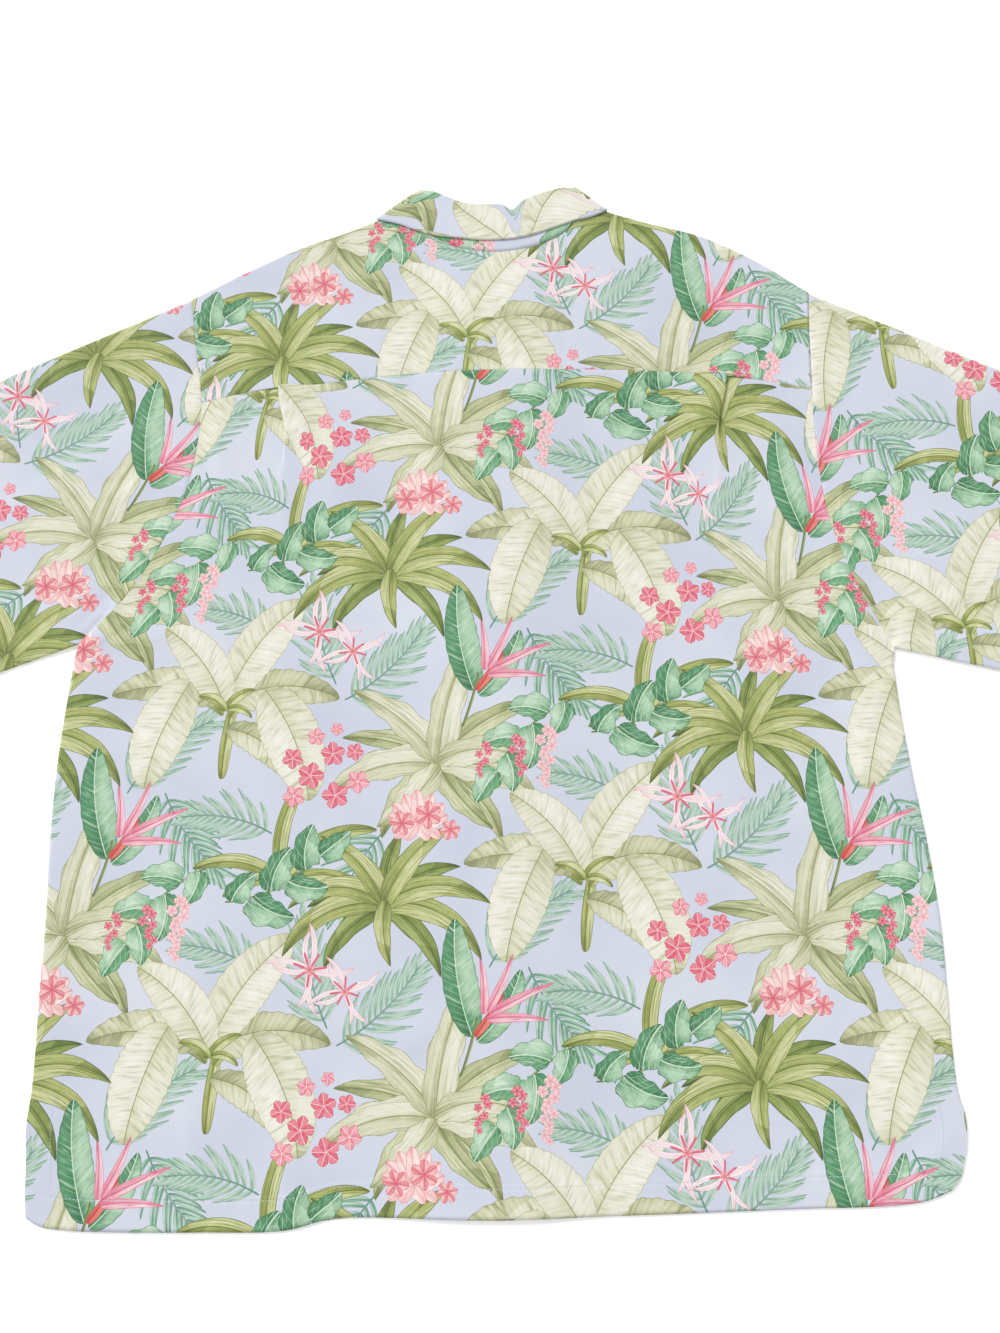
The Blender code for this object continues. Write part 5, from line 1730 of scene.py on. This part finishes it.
# %% Lines of stitches
ON_SLOPE = 0.3 * MM       # stitches of vents and cuffs lie on a slope, so they are lifted
HEM_ENDS = -0.380, 0.372  # x in metres where the hem's stitches end, short of its corners
CUFF_ENDS = np.array([[0.02], [0.98]])    # the same for a cuff, as shares of its width
inside_hem = HEM_LINE + (0, HEM_DEPTH - STITCH_INSET)
inside_hem = inside_hem[(inside_hem[:, 0] > HEM_ENDS[0]) & (inside_hem[:, 0] < HEM_ENDS[1])]
SEWN = {"hem_stitches": stitches("hem_stitches", inside_hem)}
for side in OUT:
    vent = curve(pair(SIDE, side)[VENT_TOP:-1], 30)
    vent = vent - outward(vent, side) * (VENT_DEPTH - STITCH_INSET)
    cuff = pair(SLEEVE_END, side)
    cuff = cuff - outward(cuff, side) * (CUFF_DEPTH - STITCH_INSET)
    cuff = cuff[0] + (cuff[1] - cuff[0]) * CUFF_ENDS
    for name, line in (("vent_stitches_" + side, vent), ("cuff_stitches_" + side, cuff)):
        SEWN[name] = stitches(name, line, ON_SLOPE)

# %% [markdown]
#
# Each shell takes the place of its solid, which is hidden.

# %% Solids hidden under the cloth
# piece: the node that it replaces, what it rests on, the stitches that belong to it
CLOTHS = {
    "back_cloth": ("back", ["front_left_cloth", "front_right_cloth"],
                   ["hem_stitches", "vent_stitches_left", "vent_stitches_right"]),
    "yoke_cloth": ("yoke", ["front_left_cloth", "front_right_cloth"], []),
    "front_left_cloth": ("front_left", [], []),
    "front_right_cloth": ("front_right", ["front_left_cloth"], []),
    "sleeve_left_cloth": ("sleeve_left", [], ["cuff_stitches_left"]),
    "sleeve_right_cloth": ("sleeve_right", [], ["cuff_stitches_right"]),
    "collar_cloth": ("collar", ["yoke_cloth"], []),
}
for name, (node, under, sewn) in CLOTHS.items():
    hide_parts(node)
print("sheets:", len(CLOTHS))

# %% [markdown]
# ## Floor, light and camera
#
# A shirt is laid on a white table under a large window. The table is painted board, matt,
# with a little glow so that it stays white in the shade. One broad sun from behind the
# collar's left gives the folds soft shadows, and the pale world fills them. The camera leans
# back by 11 degrees and looks at the middle of the shirt.

# %% Table and light
REACH = 6.0               # half the table's side
floor_mesh = bpy.data.meshes.new("floor")
floor_mesh.from_pydata([(-REACH, -REACH, 0), (REACH, -REACH, 0), (REACH, REACH, 0),
                        (-REACH, REACH, 0)], [], [(0, 1, 2, 3)])
floor_mesh.materials.append(coated("white table", {
    "Base Color": linear("FFFFFF"), "Roughness": 0.9,
    "Emission Color": linear("FFFFFF"), "Emission Strength": 0.25})[0])
hang("floor", floor_mesh)

world = bpy.data.worlds.new("studio")
world.use_nodes = True
sky = world.node_tree.nodes["Background"].inputs
sky[0].default_value, sky[1].default_value = linear("FFFFFF"), 0.58
bpy.context.scene.world = world
bpy.context.scene.view_settings.view_transform = "Standard"


def aim(name, data, place):
    """A lamp or camera at this place, turned to the middle of the shirt."""
    made = hang(name, data)
    made.location = place
    made.rotation_euler = (-made.location).to_track_quat("-Z", "Y").to_euler()
    return made


lamp = bpy.data.lights.new("window", "SUN")
lamp.angle, lamp.energy = math.radians(25), 2.2
aim("window", lamp, (-1.1, 1.1, 1.2))
print("window:", round(math.degrees(lamp.angle)), "degrees wide")

# %% Camera
lens = bpy.data.cameras.new("camera")
lens.lens, lens.sensor_width = 32.4, 36
camera = aim("camera", lens, (0, -0.2042, 1.0470))
bpy.context.scene.camera = camera
print("camera:", round(camera.location.length, 3), "m from the shirt")
